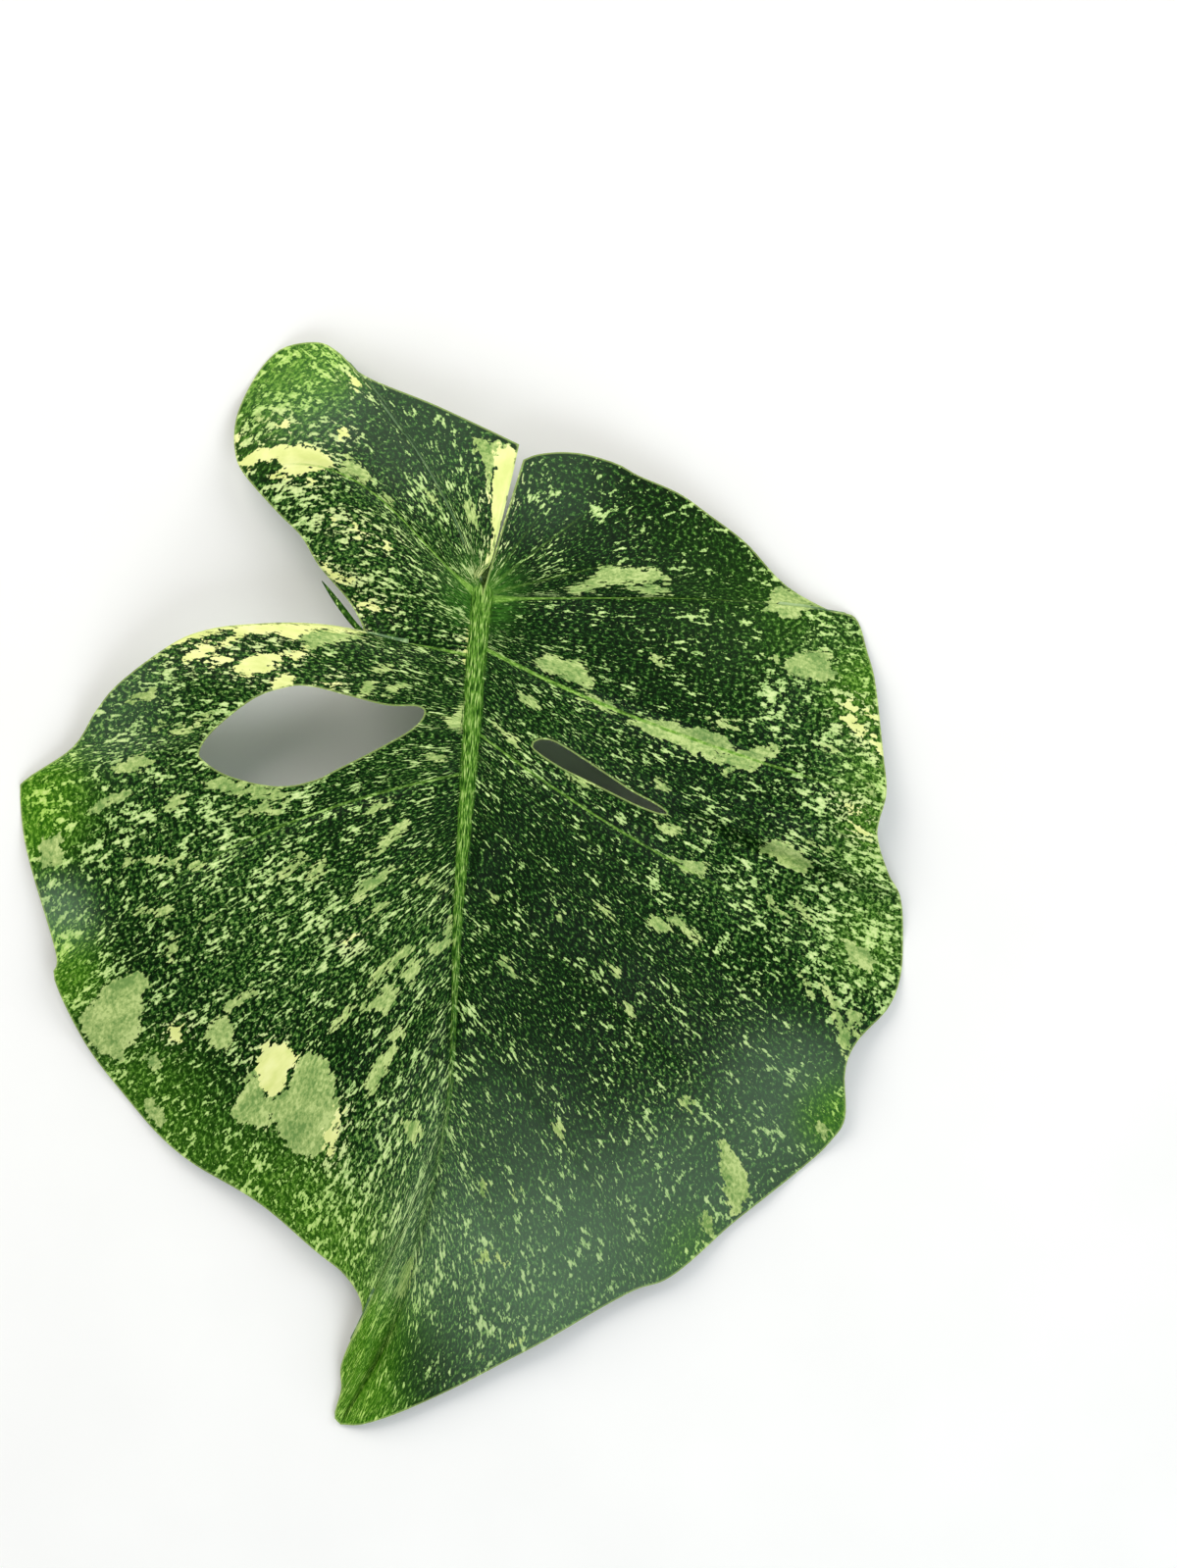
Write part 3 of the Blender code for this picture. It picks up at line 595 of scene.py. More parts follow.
SAGE_PATCHES = [
    [(-64.5, -55), (-52.5, -55), (-53.5, -56.5), (-60, -57), (-64, -56)],
    [(-32.5, -68.5), (-27.5, -65.5), (-23, -60), (-20, -57.5), (-18.5, -59), (-23, -63.5), (-26.5, -67),
     (-30.5, -68.5)],
    [(-55, -74.5), (-51.5, -71), (-48, -66.5), (-45, -68), (-48, -70), (-52.5, -73.5)],
    [(-46, -74), (-45, -71), (-41, -68), (-41, -71.5), (-43, -73.5)],
    [(-33.5, -78), (-30, -73), (-23.5, -70.5), (-22.5, -70), (-27, -74.5), (-30, -77.5), (-32.5, -80.5)],
    [(-29.5, -84), (-27.5, -80), (-24.5, -79.5), (-27, -83)],
    [(-18.5, -75), (-17.5, -73.5), (-12.5, -72), (-14, -74)],
    [(-12, -78), (-9.5, -74.5), (-9, -75.5), (-11.5, -78)],
    [(-14.5, -92), (-10.5, -89), (-8.5, -82.5), (-8, -83.5), (-8.5, -90.5), (-12, -93)],
    [(-30.5, -102), (-26.5, -96), (-19, -90.5), (-17.5, -91), (-21, -94.5), (-25, -97.5)],
    [(-21.5, -98.5), (-18, -94.5), (-16, -94), (-16.5, -98), (-19, -101)],
    [(-33, -107.5), (-27.5, -104.5), (-25, -101), (-22, -101.5), (-23.5, -105), (-26, -109), (-28, -107.5),
     (-31, -108.5)],
    [(-69, -108), (-66, -105), (-60.5, -101.5), (-59.5, -103), (-64, -106.5), (-67, -109)],
    [(-73.5, -115), (-70, -110), (-67, -109.5), (-65.5, -114.5), (-67.5, -118.5), (-70.5, -119.5),
     (-72.5, -117.5)],
    [(-31, -127.5), (-27.5, -120), (-22.5, -116.5), (-22.5, -118), (-25, -122.5), (-28, -127.5),
     (-30.5, -131)],
    [(-67, -134.5), (-63.5, -128.5), (-60.5, -123.5), (-58.5, -125), (-57.5, -131), (-54.5, -131),
     (-54, -133.5), (-56.5, -136.5), (-57.5, -139.5), (-63.5, -138.5), (-66, -137)],
    [(-54.5, -131.5), (-51.5, -128), (-48, -120.5), (-44.5, -119), (-40.5, -120.5), (-40.5, -123.5),
     (-39, -125.5), (-39, -130.5), (-37, -132.5), (-38.5, -136.5), (-39, -140), (-40.5, -143.5),
     (-43, -146), (-45.5, -147), (-51, -145.5), (-52.5, -142.5), (-54.5, -140), (-55.5, -136.5)],
    [(-21.5, -137), (-17, -136.5), (-16.5, -140), (-18.5, -143), (-20, -140)],
    [(-40.5, -114.5), (-36, -107), (-33.5, -106.5), (-38, -112.5)],
    [(-24.5, -114), (-21.5, -111.5), (-20.5, -114), (-23.5, -116)],
    [(21, 1.5), (27.5, 4), (30.5, 7.5), (37, 7.5), (47, 6), (48.5, 4), (40, 3.5), (32.5, 3), (28, 1.5),
     (24, 0)],
    [(37, 2.5), (47, 3), (48, 1), (43, 0)],
    [(73.5, -3.5), (76, 2.5), (81.5, 3.5), (83.5, 1), (90, -2), (84.5, -2.5), (83, -5), (78.5, -4.5)],
    [(78.5, -19.5), (80, -15.5), (83.5, -15), (86.5, -13.5), (92, -15), (89.5, -16.5), (93.5, -20.5),
     (88, -22), (82, -20.5)],
    [(13, -17.5), (16.5, -15.5), (21, -16.5), (25.5, -18), (27, -16.5), (26, -19), (29, -22.5), (27.5, -24),
     (23, -22), (17.5, -20.5)],
    [(23, -25), (29, -26), (35, -29), (32.5, -30.5), (28, -28)],
    [(37, -32), (43, -32), (50, -32.5), (52.5, -34.5), (58, -35), (62.5, -36.5), (65, -40), (59, -41.5),
     (54.5, -41), (50, -38.5), (45.5, -37), (40.5, -34.5)],
    [(58, -32), (64.5, -32), (68, -34.5), (62, -34)],
    [(57, -41), (63, -41), (69, -40), (77, -39), (76.5, -41), (73.5, -42.5), (71, -45), (65.5, -45),
     (61, -43.5)],
    [(61.5, -43.5), (66.5, -46.5), (63, -47)],
    [(9, -25), (13.5, -26.5), (15, -29.5), (12, -29)],
    [(3, -33.5), (7, -36), (9.5, -39.5), (7, -38)],
    [(21, -46), (25.5, -46.5), (30, -49), (26.5, -49.5)],
    [(44, -58.5), (48.5, -59), (51.5, -61.5), (47, -61.5)],
    [(49, -68), (53, -68.5), (58.5, -70), (57, -73), (53, -71.5)],
    [(72.5, -66), (76, -63), (81.5, -65.5), (86.5, -70.5), (83.5, -72.5), (78.5, -70.5), (75.5, -68)],
    [(83.5, -63.5), (88, -64.5), (92.5, -66), (90, -67)],
    [(43.5, -48), (48, -48.5), (49, -50.5), (45.5, -50.5)],
    [(88, -39.5), (93, -38.5), (93, -40.5), (89.5, -41)],
    [(43.5, -14), (46.5, -16.5), (46, -19), (44, -16.5)],
    [(74, -15.5), (77, -15), (77, -17)],
    [(42.5, -83.5), (45, -83), (49, -87.5), (46, -87.5), (43.5, -86)],
    [(47, -82), (50, -82.5), (53.5, -86.5), (57, -90.5), (54, -89), (49, -85)],
    [(4, -93.5), (6, -94), (9, -99), (7, -98.5)],
    [(61.5, -143.5), (64, -143.5), (68.5, -151), (70, -155.5), (68.5, -162), (65.5, -164), (63.5, -157)],
    [(57, -162), (59.5, -162), (60.5, -168), (58, -170)],
    [(94, -89.5), (98, -90.5), (103, -95.5), (103, -99), (100, -98.5), (96.5, -95)],
    [(88.5, -100.5), (90.5, -102), (94, -110.5), (96.5, -114), (96, -124), (94, -116.5), (91.5, -108)],
    [(82.5, -99), (85, -102), (86.5, -104.5), (85, -103)],
    [(96, -107), (99.5, -110.5), (99, -116.5), (97, -112.5)],
    [(88, -137), (90.5, -141), (90.5, -144.5), (88, -141.5)],
    [(29, -79.5), (33.5, -82.5), (34, -84), (31, -82.5)],
    [(36.5, -105.5), (39.5, -108), (39.5, -110.5), (37, -108)],
    [(31.5, -95.5), (36, -97.5), (35, -99)],
    [(18, -137), (20.5, -138), (21, -141.5), (19.5, -141.5)],
    [(50.5, -130.5), (54.5, -131.5), (54.5, -135.5), (51.5, -133)],
    [(1, -76.5), (4, -78.5), (3, -80)],
    [(18.5, -82), (21, -83), (20, -84)],
    [(-37.5, 33.5), (-35.5, 37), (-33.5, 35), (-30, 32.5), (-29.5, 30), (-30.5, 29), (-33.5, 31.5)],
    [(-2.5, 41), (1.5, 40.5), (7.5, 39.5), (5, 37), (2.5, 31.5), (1.5, 26.5), (1, 31.5), (0, 34.5)],
    [(-5, 24.5), (-3, 24), (-1.5, 20), (-1.5, 17.5), (-4, 19.5)],
    [(-61, 48), (-58.5, 49), (-56.5, 47.5), (-59, 46)],
    [(-26, 27), (-24, 25.5), (-23, 23), (-25, 24.5)],
    [(-15, 27.5), (-12.5, 25), (-11, 23), (-14, 24.5)],
    [(-49, -11), (-43, -8.5), (-38, -8.5), (-34, -10), (-31.5, -11), (-38, -12), (-41.5, -12.5),
     (-43, -14.5), (-46.5, -14.5), (-45, -12.5)],
    [(-93.5, -17), (-88.5, -14), (-79.5, -12), (-83, -14), (-90, -16.5)],
    [(-73, -48), (-69, -47), (-62.5, -48.5), (-56.5, -50), (-51, -51), (-50.5, -53.5), (-55, -53),
     (-61, -52), (-67.5, -50.5), (-72, -50)],
    [(-65, -55.5), (-59, -55), (-52.5, -55), (-53.5, -56.5), (-59.5, -57), (-63.5, -56.5)],
    [(-99, -44.5), (-94, -43), (-90, -41), (-86, -43), (-90, -45), (-95.5, -46)],
    [(-94, -27.5), (-91, -25), (-86, -24), (-87.5, -26.5), (-92.5, -27.5)],
    [(-10.5, -32), (-7.5, -31.5), (-4.5, -27.5), (-4, -33.5), (-6.5, -35), (-8.5, -34)],
    [(-82.5, -35), (-77.5, -33.5), (-76.5, -35.5), (-81.5, -36)],
    [(-88, -34), (-84.5, -33), (-83, -34.5), (-87, -35)],
    [(-33, -26), (-30, -22.5), (-27.5, -22), (-29, -25), (-32.5, -26.5)],
    [(-26, -25.5), (-23, -23.5), (-19.5, -23), (-22, -25), (-25.5, -26.5)],
    [(-28.5, -19), (-23, -18), (-24.5, -20), (-28.5, -20)],
    [(-14.5, -41.5), (-10.5, -41.5), (-9, -42.5), (-13, -43)],
    [(-75.5, -32), (-70.5, -30), (-72, -32.5), (-74.5, -33.5)],
    [(-31, -56), (-27.5, -53.5), (-23, -52.5), (-23.5, -54.5), (-28.5, -56)],
    [(-104.5, -55), (-98, -52), (-96, -52.5), (-103, -56.5)],
    [(-84.5, -54.5), (-80, -52), (-77.5, -53.5), (-84, -56)],
    [(-107.5, -110.5), (-103.5, -106.5), (-100, -102), (-98.5, -101), (-93.5, -98.5), (-88, -98.5),
     (-88.5, -101.5), (-90, -104.5), (-90.5, -109), (-91.5, -114.5), (-93, -117.5), (-95.5, -119),
     (-97.5, -122.5), (-100.5, -121.5), (-104.5, -117.5), (-107, -114.5)],
    [(-118.5, -64.5), (-115, -62.5), (-112, -62), (-111.5, -65.5), (-113, -69.5), (-116.5, -71.5),
     (-118.5, -69.5)],
    [(-90, -121), (-86.5, -120), (-84.5, -121.5), (-86.5, -124), (-89.5, -124)],
    [(-96.5, -69), (-92, -67.5), (-91.5, -69.5), (-95.5, -70.5)],
    [(-89, -68), (-83, -66.5), (-85, -69.5), (-88, -70.5)],
    [(-83, -68), (-79, -69), (-79, -70.5), (-82.5, -70)],
    [(-78.5, -71), (-74.5, -68.5), (-73, -69.5), (-74.5, -71.5)],
    [(-87.5, -83), (-82.5, -80.5), (-80, -80), (-81, -83), (-84, -84)],
    [(-91.5, -83), (-88, -81), (-88.5, -83)],
    [(-84, -95.5), (-82.5, -90), (-80.5, -89), (-80, -92), (-82.5, -95.5)],
    [(-75, -87), (-70.5, -82.5), (-69.5, -83.5), (-72.5, -87)],
    [(-104.5, -55), (-99, -52.5), (-93.5, -50), (-92.5, -51), (-99, -54.5), (-103.5, -56)],
    [(-85, -54.5), (-79, -52), (-77.5, -52.5), (-83, -55.5)],
    [(-91, -133), (-88.5, -132), (-85, -136.5), (-86, -140.5), (-89.5, -137)],
    [(-24, -185), (-21.5, -176.5), (-19.5, -173.5), (-19, -176.5), (-21, -182.5), (-23.5, -185.5)],
    [(-0.5, -153), (0.5, -153), (0, -157), (-0.5, -156.5)],
    [(7.5, -155), (9.5, -155), (9.5, -157), (8, -156.5)],
    [(1.5, -170), (3.5, -173), (5.5, -174.5), (5, -176), (3, -173.5)],
    [(-2.5, -174.5), (0, -171.5), (1, -170.5), (0.5, -174.5)],
    [(8, -196.5), (10, -195.5), (7, -198.5)],
    [(-1.5, -199.5), (0.5, -199.5), (0, -202), (-1.5, -201)],
    [(82.5, -98.5), (84.5, -101), (86.5, -104.5), (85, -104)],
    [(81, -79.5), (84, -81.5), (86.5, -85.5), (83.5, -83.5)],
    [(74, -78), (77, -80.5), (79.5, -83.5), (76, -82.5)],
    [(99, -46.5), (102, -49.5), (104, -53.5), (101.5, -51.5)],
]


def deepest(plan, outlines):
    """How deep in mm each point lies inside the nearest of the outlines, or minus its distance outside."""
    depth = np.full(len(plan), -30.0)
    for outline in outlines:
        outline = np.array(outline, float)
        _, distance = nearest_on(plan, outline)
        depth = np.maximum(depth, np.where(is_inside(plan, outline), distance, -distance))
    return depth


cream = deepest(plan, CREAM_PATCHES)
sage = deepest(plan, SAGE_PATCHES)
print("points in cream:", int((cream > 0).sum()), "and in sage:", int((sage > 0).sum()))

# %% [markdown]
# ## Closing the sheet
#
# A leaf has two faces and an edge, so the sheet becomes a thin closed solid: the upper face carries the
# relief, the underside carries the ribs, and a narrow wall joins them round the margin and both holes. The
# blade thins towards every edge, as a leaf's does, from 0.6 mm to half of that.

# %% Blade mesh
EDGE_THICKNESS = 0.3
EDGE_TAPER = 3.0  # mm over which the blade thins to its edge
SHEET_THICKNESS = 0.6
CLEARANCE = 0.02  # mm that the lowest point stays above the table
THINNEST = 0.25  # mm between the two faces where the blade is pressed on the table


def boundary_edges(faces):
    """Edges that only one face uses, in that face's own direction."""
    edges = np.concatenate([faces[:, [0, 1]], faces[:, [1, 2]], faces[:, [2, 3]], faces[:, [3, 0]]])
    _, first, uses = np.unique(np.sort(edges, axis=1), axis=0, return_index=True, return_counts=True)
    return edges[first[uses == 1]]


left_margin, right_margin = (
    through(points, np.linspace(0, len(points) - 1, 400)) for points in (LEFT_MARGIN, RIGHT_MARGIN)
)
outer = np.vstack([left_margin, right_margin[::-1], [[0.0, 0.0]]])
edge = np.minimum.reduce([nearest_on(plan, outline)[1] for outline in [outer] + holes])
thickness = EDGE_THICKNESS + (SHEET_THICKNESS - EDGE_THICKNESS) * ramp(edge, 0, EDGE_TAPER)
top = flat + rise.reshape(-1, 1) * [0.0, 0.0, 1.0]
under = top - normals * (thickness + rib_depth.ravel() * ramp(edge, 0, 1.5))[:, None]

low, high = blade_box
shift = np.array([*((low + high)[:2] - plan.min(axis=0) - plan.max(axis=0)) / 2, 0.0])
top += shift
under += shift
under[:, 2] = np.maximum(under[:, 2], CLEARANCE)
top[:, 2] = np.maximum(top[:, 2], under[:, 2] + THINNEST)
print("leaf frame stands at", shift.round(2).tolist(), "mm; lowest", under[:, 2].min().round(2))


def mesh_object(name, points, faces, materials, face_materials):
    """A mesh object at the origin from points in mm. Each face's material is given by its number."""
    mesh = bpy.data.meshes.new(name)
    mesh.from_pydata(points * MM, [], faces)
    mesh.shade_smooth()
    for material in materials:
        mesh.materials.append(material)
    mesh.polygons.foreach_set("material_index", np.asarray(face_materials, np.int32))
    made = bpy.data.objects.new(name, mesh)
    bpy.context.scene.collection.objects.link(made)
    return made


def add_uv(mesh, name, values):
    """A UV map from one pair of numbers for each vertex."""
    corners = np.empty(len(mesh.loops), np.int32)
    mesh.loops.foreach_get("vertex_index", corners)
    mesh.uv_layers.new(name=name).data.foreach_set("uv", values[corners].astype(np.float32).ravel())


def add_field(mesh, name, values):
    """A named number at each vertex, which a material reads as an attribute."""
    numbers = mesh.attributes.new(name, "FLOAT", "POINT").data
    numbers.foreach_set("value", values.astype(np.float32).ravel())


def weld(mesh, distance=0.002 * MM):
    """Joins points that fall on each other, and so closes the grid's poles. Faces that vanish are dropped."""
    shape = bmesh.new()
    shape.from_mesh(mesh)
    bmesh.ops.remove_doubles(shape, verts=shape.verts, dist=distance)
    bmesh.ops.dissolve_degenerate(shape, edges=shape.edges, dist=distance)
    open_edges = sum(len(each.link_faces) != 2 for each in shape.edges)
    shape.to_mesh(mesh)
    shape.free()
    mesh.update()
    print(mesh.name, "has", len(mesh.polygons), "faces;", open_edges, "edges aren't between two faces")


# %% [markdown]
# ## Building a material from nodes
#
# Every finish below is a small graph of nodes. One helper adds a node, sets its properties and wires its
# inputs: a value that is a socket becomes a link, and any other value is set on the input itself.

# %% Node helpers


def linear(hex_colour):
    """An sRGB hex colour as linear red, green, blue and 1: below 0.04045 a channel is divided by 12.92, and
    above it is ((c + 0.055) / 1.055) to the power 2.4."""
    c = np.array([int(hex_colour[i : i + 2], 16) for i in (1, 3, 5)]) / 255
    return (*np.where(c <= 0.04045, c / 12.92, ((c + 0.055) / 1.055) ** 2.4).tolist(), 1.0)


def node(tree, kind, inputs=None, **settings):
    """Adds a node of this kind with these settings, and links or sets its inputs by name or number."""
    made = tree.nodes.new(kind)
    for name, value in settings.items():
        setattr(made, name, value)
    for key, value in (inputs or {}).items():
        socket = made.inputs[key]
        if isinstance(value, bpy.types.NodeSocket):
            tree.links.new(value, socket)
        elif isinstance(value, str):
            socket.default_value = linear(value)
        else:
            socket.default_value = value
    return made


def maths(tree, operation, *values):
    """One step of arithmetic."""
    return node(tree, "ShaderNodeMath", dict(enumerate(values)), operation=operation).outputs[0]


def between(tree, value, low, high, out_low=0.0, out_high=1.0):
    """A smooth step of the value from low to high."""
    inputs = {"Value": value, "From Min": low, "From Max": high, "To Min": out_low, "To Max": out_high}
    return node(tree, "ShaderNodeMapRange", inputs, interpolation_type="SMOOTHSTEP").outputs["Result"]


def blend(tree, share, first, second):
    """Mixes two colours by a share."""
    made = node(tree, "ShaderNodeMix", data_type="RGBA")
    for key, value in ((0, share), (6, first), (7, second)):
        if isinstance(value, bpy.types.NodeSocket):
            tree.links.new(value, made.inputs[key])
        else:
            made.inputs[key].default_value = linear(value) if isinstance(value, str) else value
    return made.outputs[2]


def palette(tree, value, stops):
    """A colour ramp from (place, hex colour) stops."""
    made = node(tree, "ShaderNodeValToRGB", {"Fac": value})
    elements = made.color_ramp.elements
    elements[0].position, elements[0].color = stops[0][0], linear(stops[0][1])
    elements[1].position, elements[1].color = stops[-1][0], linear(stops[-1][1])
    for place, colour in stops[1:-1]:
        elements.new(place).color = linear(colour)
    return made.outputs["Color"]


def field(tree, name):
    """The number stored at the mesh's vertices under this name."""
    return node(tree, "ShaderNodeAttribute", attribute_name=name).outputs["Fac"]


def noise(tree, vector, cell_mm, detail=2.0, roughness=0.55, stretch=(1, 1, 1)):
    """Noise whose blotches are about cell_mm wide, drawn out along each axis by its stretch."""
    scaled = [1 / each for each in stretch]
    moved = node(tree, "ShaderNodeMapping", {"Vector": vector, "Scale": scaled}).outputs["Vector"]
    inputs = {"Vector": moved, "Scale": 1 / (cell_mm * MM), "Detail": detail, "Roughness": roughness}
    return node(tree, "ShaderNodeTexNoise", inputs).outputs["Fac"]


def new_material(name):
    """A material with only its shader and output, and both of them to wire."""
    material = bpy.data.materials.new(name)
    material.use_nodes = True
    shader = material.node_tree.nodes["Principled BSDF"]
    return material, material.node_tree, shader


print("a mid green in linear light:", [round(c, 3) for c in linear("#4f7a35")])

# %% [markdown]
# ## Finish: the upper face of the blade
#
# On a variegated monstera each speckle is a clone of cells that lost their green. Close up they are ragged
# islands from half a millimetre to a few millimetres, drawn out along the veins, with the darkest green
# right beside them. The tissue is laid in three layers. The ground is a fine dust of dark and mid greens.
# One number per point, made of noise at three sizes plus the local speckling, says how near a fleck is:
# where it is high there is a fleck, and where it is a little lower there is the dark halo, so the halo
# always hugs the fleck. The same three layers in a second set of brighter yellow-greens paint the light that
# comes through the thin margins, and a thin grey-green veil is painted over the lower right as a sheen. The
# skin is waxy and satin.

# %% Upper face material
# Ground, from between the specks to the palest speck of dust; halo; and fleck, from its edge to its middle
PLAIN_TISSUE = (
    [(0.36, "#041403"), (0.50, "#0b2607"), (0.56, "#244f1a"), (0.61, "#4a782f"), (0.68, "#88ac5a")],
    "#020b01",
    [(0.50, "#6f9648"), (0.57, "#94b96a"), (0.68, "#bdd98b"), (0.90, "#dcefa6")],
)
# Painted light through the thin margins: the same layers in brighter yellow-greens
PAINTED_GLOW_TISSUE = (
    [(0.36, "#2b6409"), (0.50, "#467f15"), (0.56, "#639b26"), (0.61, "#80b43a"), (0.68, "#9bc94e")],
    "#215407",
    [(0.50, "#79af32"), (0.57, "#93c646"), (0.68, "#b2db60"), (0.90, "#cdea80")],
)
PAINTED_SHEEN_VEIL = (0.42, "#86a985")  # how dense the painted sheen can be, and its colour
SAGE = [(0.40, "#749850"), (0.46, "#93b064"), (0.52, "#a8c172"), (0.58, "#c4d889")]
CREAM = [(0.35, "#dfe98f"), (0.55, "#eff5a3"), (0.7, "#f6fbb2")]
CREAMY_FLECK = "#edf5b0"
JOINT_GREEN = "#3f7a22"
VEIN_LINE = [(0.40, "#5f9030"), (0.52, "#7bab40"), (0.62, "#a3c966")]
FIBRES = [(0.38, "#1f440c"), (0.45, "#3a6a1a"), (0.52, "#5d8e2d"), (0.58, "#88b44e"), (0.66, "#bdd880")]
RIM = "#b9d27a"


def leaf_patterns(tree):
    """Object position, the flow and ribway maps, the dust of single cells, and streaks along the veins."""
    place = node(tree, "ShaderNodeTexCoord").outputs["Object"]
    flow, ribway = (node(tree, "ShaderNodeUVMap", uv_map=name).outputs["UV"] for name in ("flow", "ribway"))
    dust = noise(tree, flow, 0.85, 2.0, 0.65, (1, 1.6, 1))
    streaks = noise(tree, flow, 1.2, 2.5, 0.6, (1, 3.4, 1))
    return place, flow, ribway, dust, streaks


def upper_skin():
    """The finish of the upper face: tissue, painted sheen, painted light through the margins, patches, joint,
    veins, midrib and rim, in that order.
    """
    material, tree, shader = new_material("waxy upper leaf skin")
    place, flow, ribway, dust, streaks = leaf_patterns(tree)
    clusters = noise(tree, flow, 7.0, 2.0, 0.5, (1, 1.8, 1))  # loose groups of streaks
    crowd = maths(tree, "MULTIPLY_ADD", field(tree, "speckling"), 0.72, -0.385)
    fine_level = maths(tree, "MULTIPLY_ADD", field(tree, "speckling"), 0.32, maths(tree, "ADD", dust, -0.07))
    level = maths(tree, "ADD", maths(tree, "MULTIPLY_ADD", streaks, 2.14, -0.57), crowd)
    level = maths(tree, "ADD", level, maths(tree, "MULTIPLY_ADD", dust, 1.07, -0.535))
    level = maths(tree, "ADD", level, maths(tree, "MULTIPLY_ADD", clusters, 1.07, -0.535))

    creamy = between(tree, field(tree, "cream"), -6.0, -1.0, 0.0, 0.4)  # flecks pale towards a cream patch

    def tissue(ground, halo, fleck):
        """Ground, darkened into a halo where the level nears a fleck's, and the flecks over it."""
        made = palette(tree, fine_level, ground)
        made = blend(tree, between(tree, level, 0.34, 0.47, 0.0, 0.85), made, halo)
        flecks = blend(tree, creamy, palette(tree, level, fleck), CREAMY_FLECK)
        return blend(tree, between(tree, level, 0.48, 0.52), made, flecks)

    colour = tissue(*PLAIN_TISSUE)
    # Painted sheen: a grey-green veil mixed over the tissue where the leaf's gloss is painted instead of
    # reflected
    painted_sheen_density, painted_sheen_colour = PAINTED_SHEEN_VEIL
    colour = blend(tree, maths(tree, "MULTIPLY", field(tree, "bloom"), painted_sheen_density), colour, painted_sheen_colour)
    # Painted light through the thin margins: the tissue again in brighter yellow-greens
    colour = blend(tree, field(tree, "glow"), colour, tissue(*PAINTED_GLOW_TISSUE))

    # The large patches end in a ragged border: their depth is disturbed by the same noise as the speckles
    ragged = maths(tree, "MULTIPLY_ADD", streaks, 6.0, -2.8)
    ragged = maths(tree, "ADD", ragged, maths(tree, "MULTIPLY_ADD", dust, 2.4, -1.2))
    cloud = noise(tree, flow, 4.0, 3.0, 0.6, (1, 2.5, 1))
    mottle = maths(tree, "ADD", maths(tree, "MULTIPLY", cloud, 0.5), maths(tree, "MULTIPLY", dust, 0.5))
    sage_share = between(tree, maths(tree, "ADD", field(tree, "sage"), ragged), -0.15, 0.25)
    colour = blend(tree, sage_share, colour, palette(tree, mottle, SAGE))
    cream_share = between(tree, maths(tree, "ADD", field(tree, "cream"), ragged), -0.1, 0.2)
    colour = blend(tree, cream_share, colour, palette(tree, cloud, CREAM))

    # Round the joint the tissue is plain mid green, in rays
    joint_share = between(tree, field(tree, "joint"), 2.5, 15.0, 0.75, 0.0)
    joint_share = maths(tree, "MULTIPLY", joint_share, between(tree, streaks, 0.40, 0.58, 1.0, 0.35))
    colour = blend(tree, joint_share, colour, JOINT_GREEN)

    # Lateral veins: a pale line as wide as each vein's half-width says
    line = maths(tree, "DIVIDE", field(tree, "vein"), maths(tree, "ADD", field(tree, "vein_half"), 0.05))
    line_share = maths(tree, "MULTIPLY", between(tree, line, 0.6, 1.5, 1.0, 0.0), field(tree, "vein_light"))
    line_share = maths(tree, "MULTIPLY", line_share, between(tree, streaks, 0.38, 0.54, 0.45, 1.0))
    colour = blend(tree, line_share, colour, palette(tree, dust, VEIN_LINE))

    # Midrib: a green band with pale and dark fibres along it
    fibre = noise(tree, ribway, 0.35, 2.0, 0.6, (1, 9, 1))
    rib_edge = maths(tree, "ADD", field(tree, "rib"), maths(tree, "MULTIPLY_ADD", fibre, 1.6, -0.8))
    rib_share = between(tree, rib_edge, 0.85, 1.1, 1.0, 0.0)
    rib_share = maths(tree, "MULTIPLY", rib_share, field(tree, "rib_light"))
    colour = blend(tree, rib_share, colour, palette(tree, fibre, FIBRES))

    # The rim is thin and colourless, so it shows as a pale line
    rim_share = between(tree, field(tree, "edge"), 0.2, 0.6, 0.5, 0.0)
    colour = blend(tree, rim_share, colour, RIM)
    tree.links.new(colour, shader.inputs["Base Color"])

    rough = maths(tree, "MULTIPLY_ADD", streaks, 0.16, 0.30)
    rough = maths(tree, "ADD", rough, maths(tree, "MULTIPLY", field(tree, "bloom"), 0.08))
    tree.links.new(rough, shader.inputs["Roughness"])
    shader.inputs["IOR"].default_value = 1.45
    shader.inputs["Specular IOR Level"].default_value = 0.07

    # Skin relief: fine ripples across the veins, the grain of the cells, and a slight step at each speckle
    ripples = noise(tree, flow, 0.55, 2.0, 0.6, (1.0, 6.0, 1.0))
    grain = noise(tree, place, 0.4, 2.0, 0.6)
    height_sum = maths(tree, "ADD", ripples, maths(tree, "MULTIPLY", grain, 0.5))
    height_sum = maths(tree, "ADD", height_sum, maths(tree, "MULTIPLY", streaks, 0.6))
    height_sum = maths(tree, "ADD", height_sum, maths(tree, "MULTIPLY", fibre, rib_share))
    bump = node(tree, "ShaderNodeBump", {"Height": height_sum, "Strength": 0.5, "Distance": 0.09 * MM})
    tree.links.new(bump.outputs["Normal"], shader.inputs["Normal"])
    return material


# %% [markdown]
# ## Finish: the underside of the blade
#
# The underside has no wax shine. It is a paler, greyer green, the speckles show through it faintly, and the
# ribs stand out in light green.

# %% Underside material


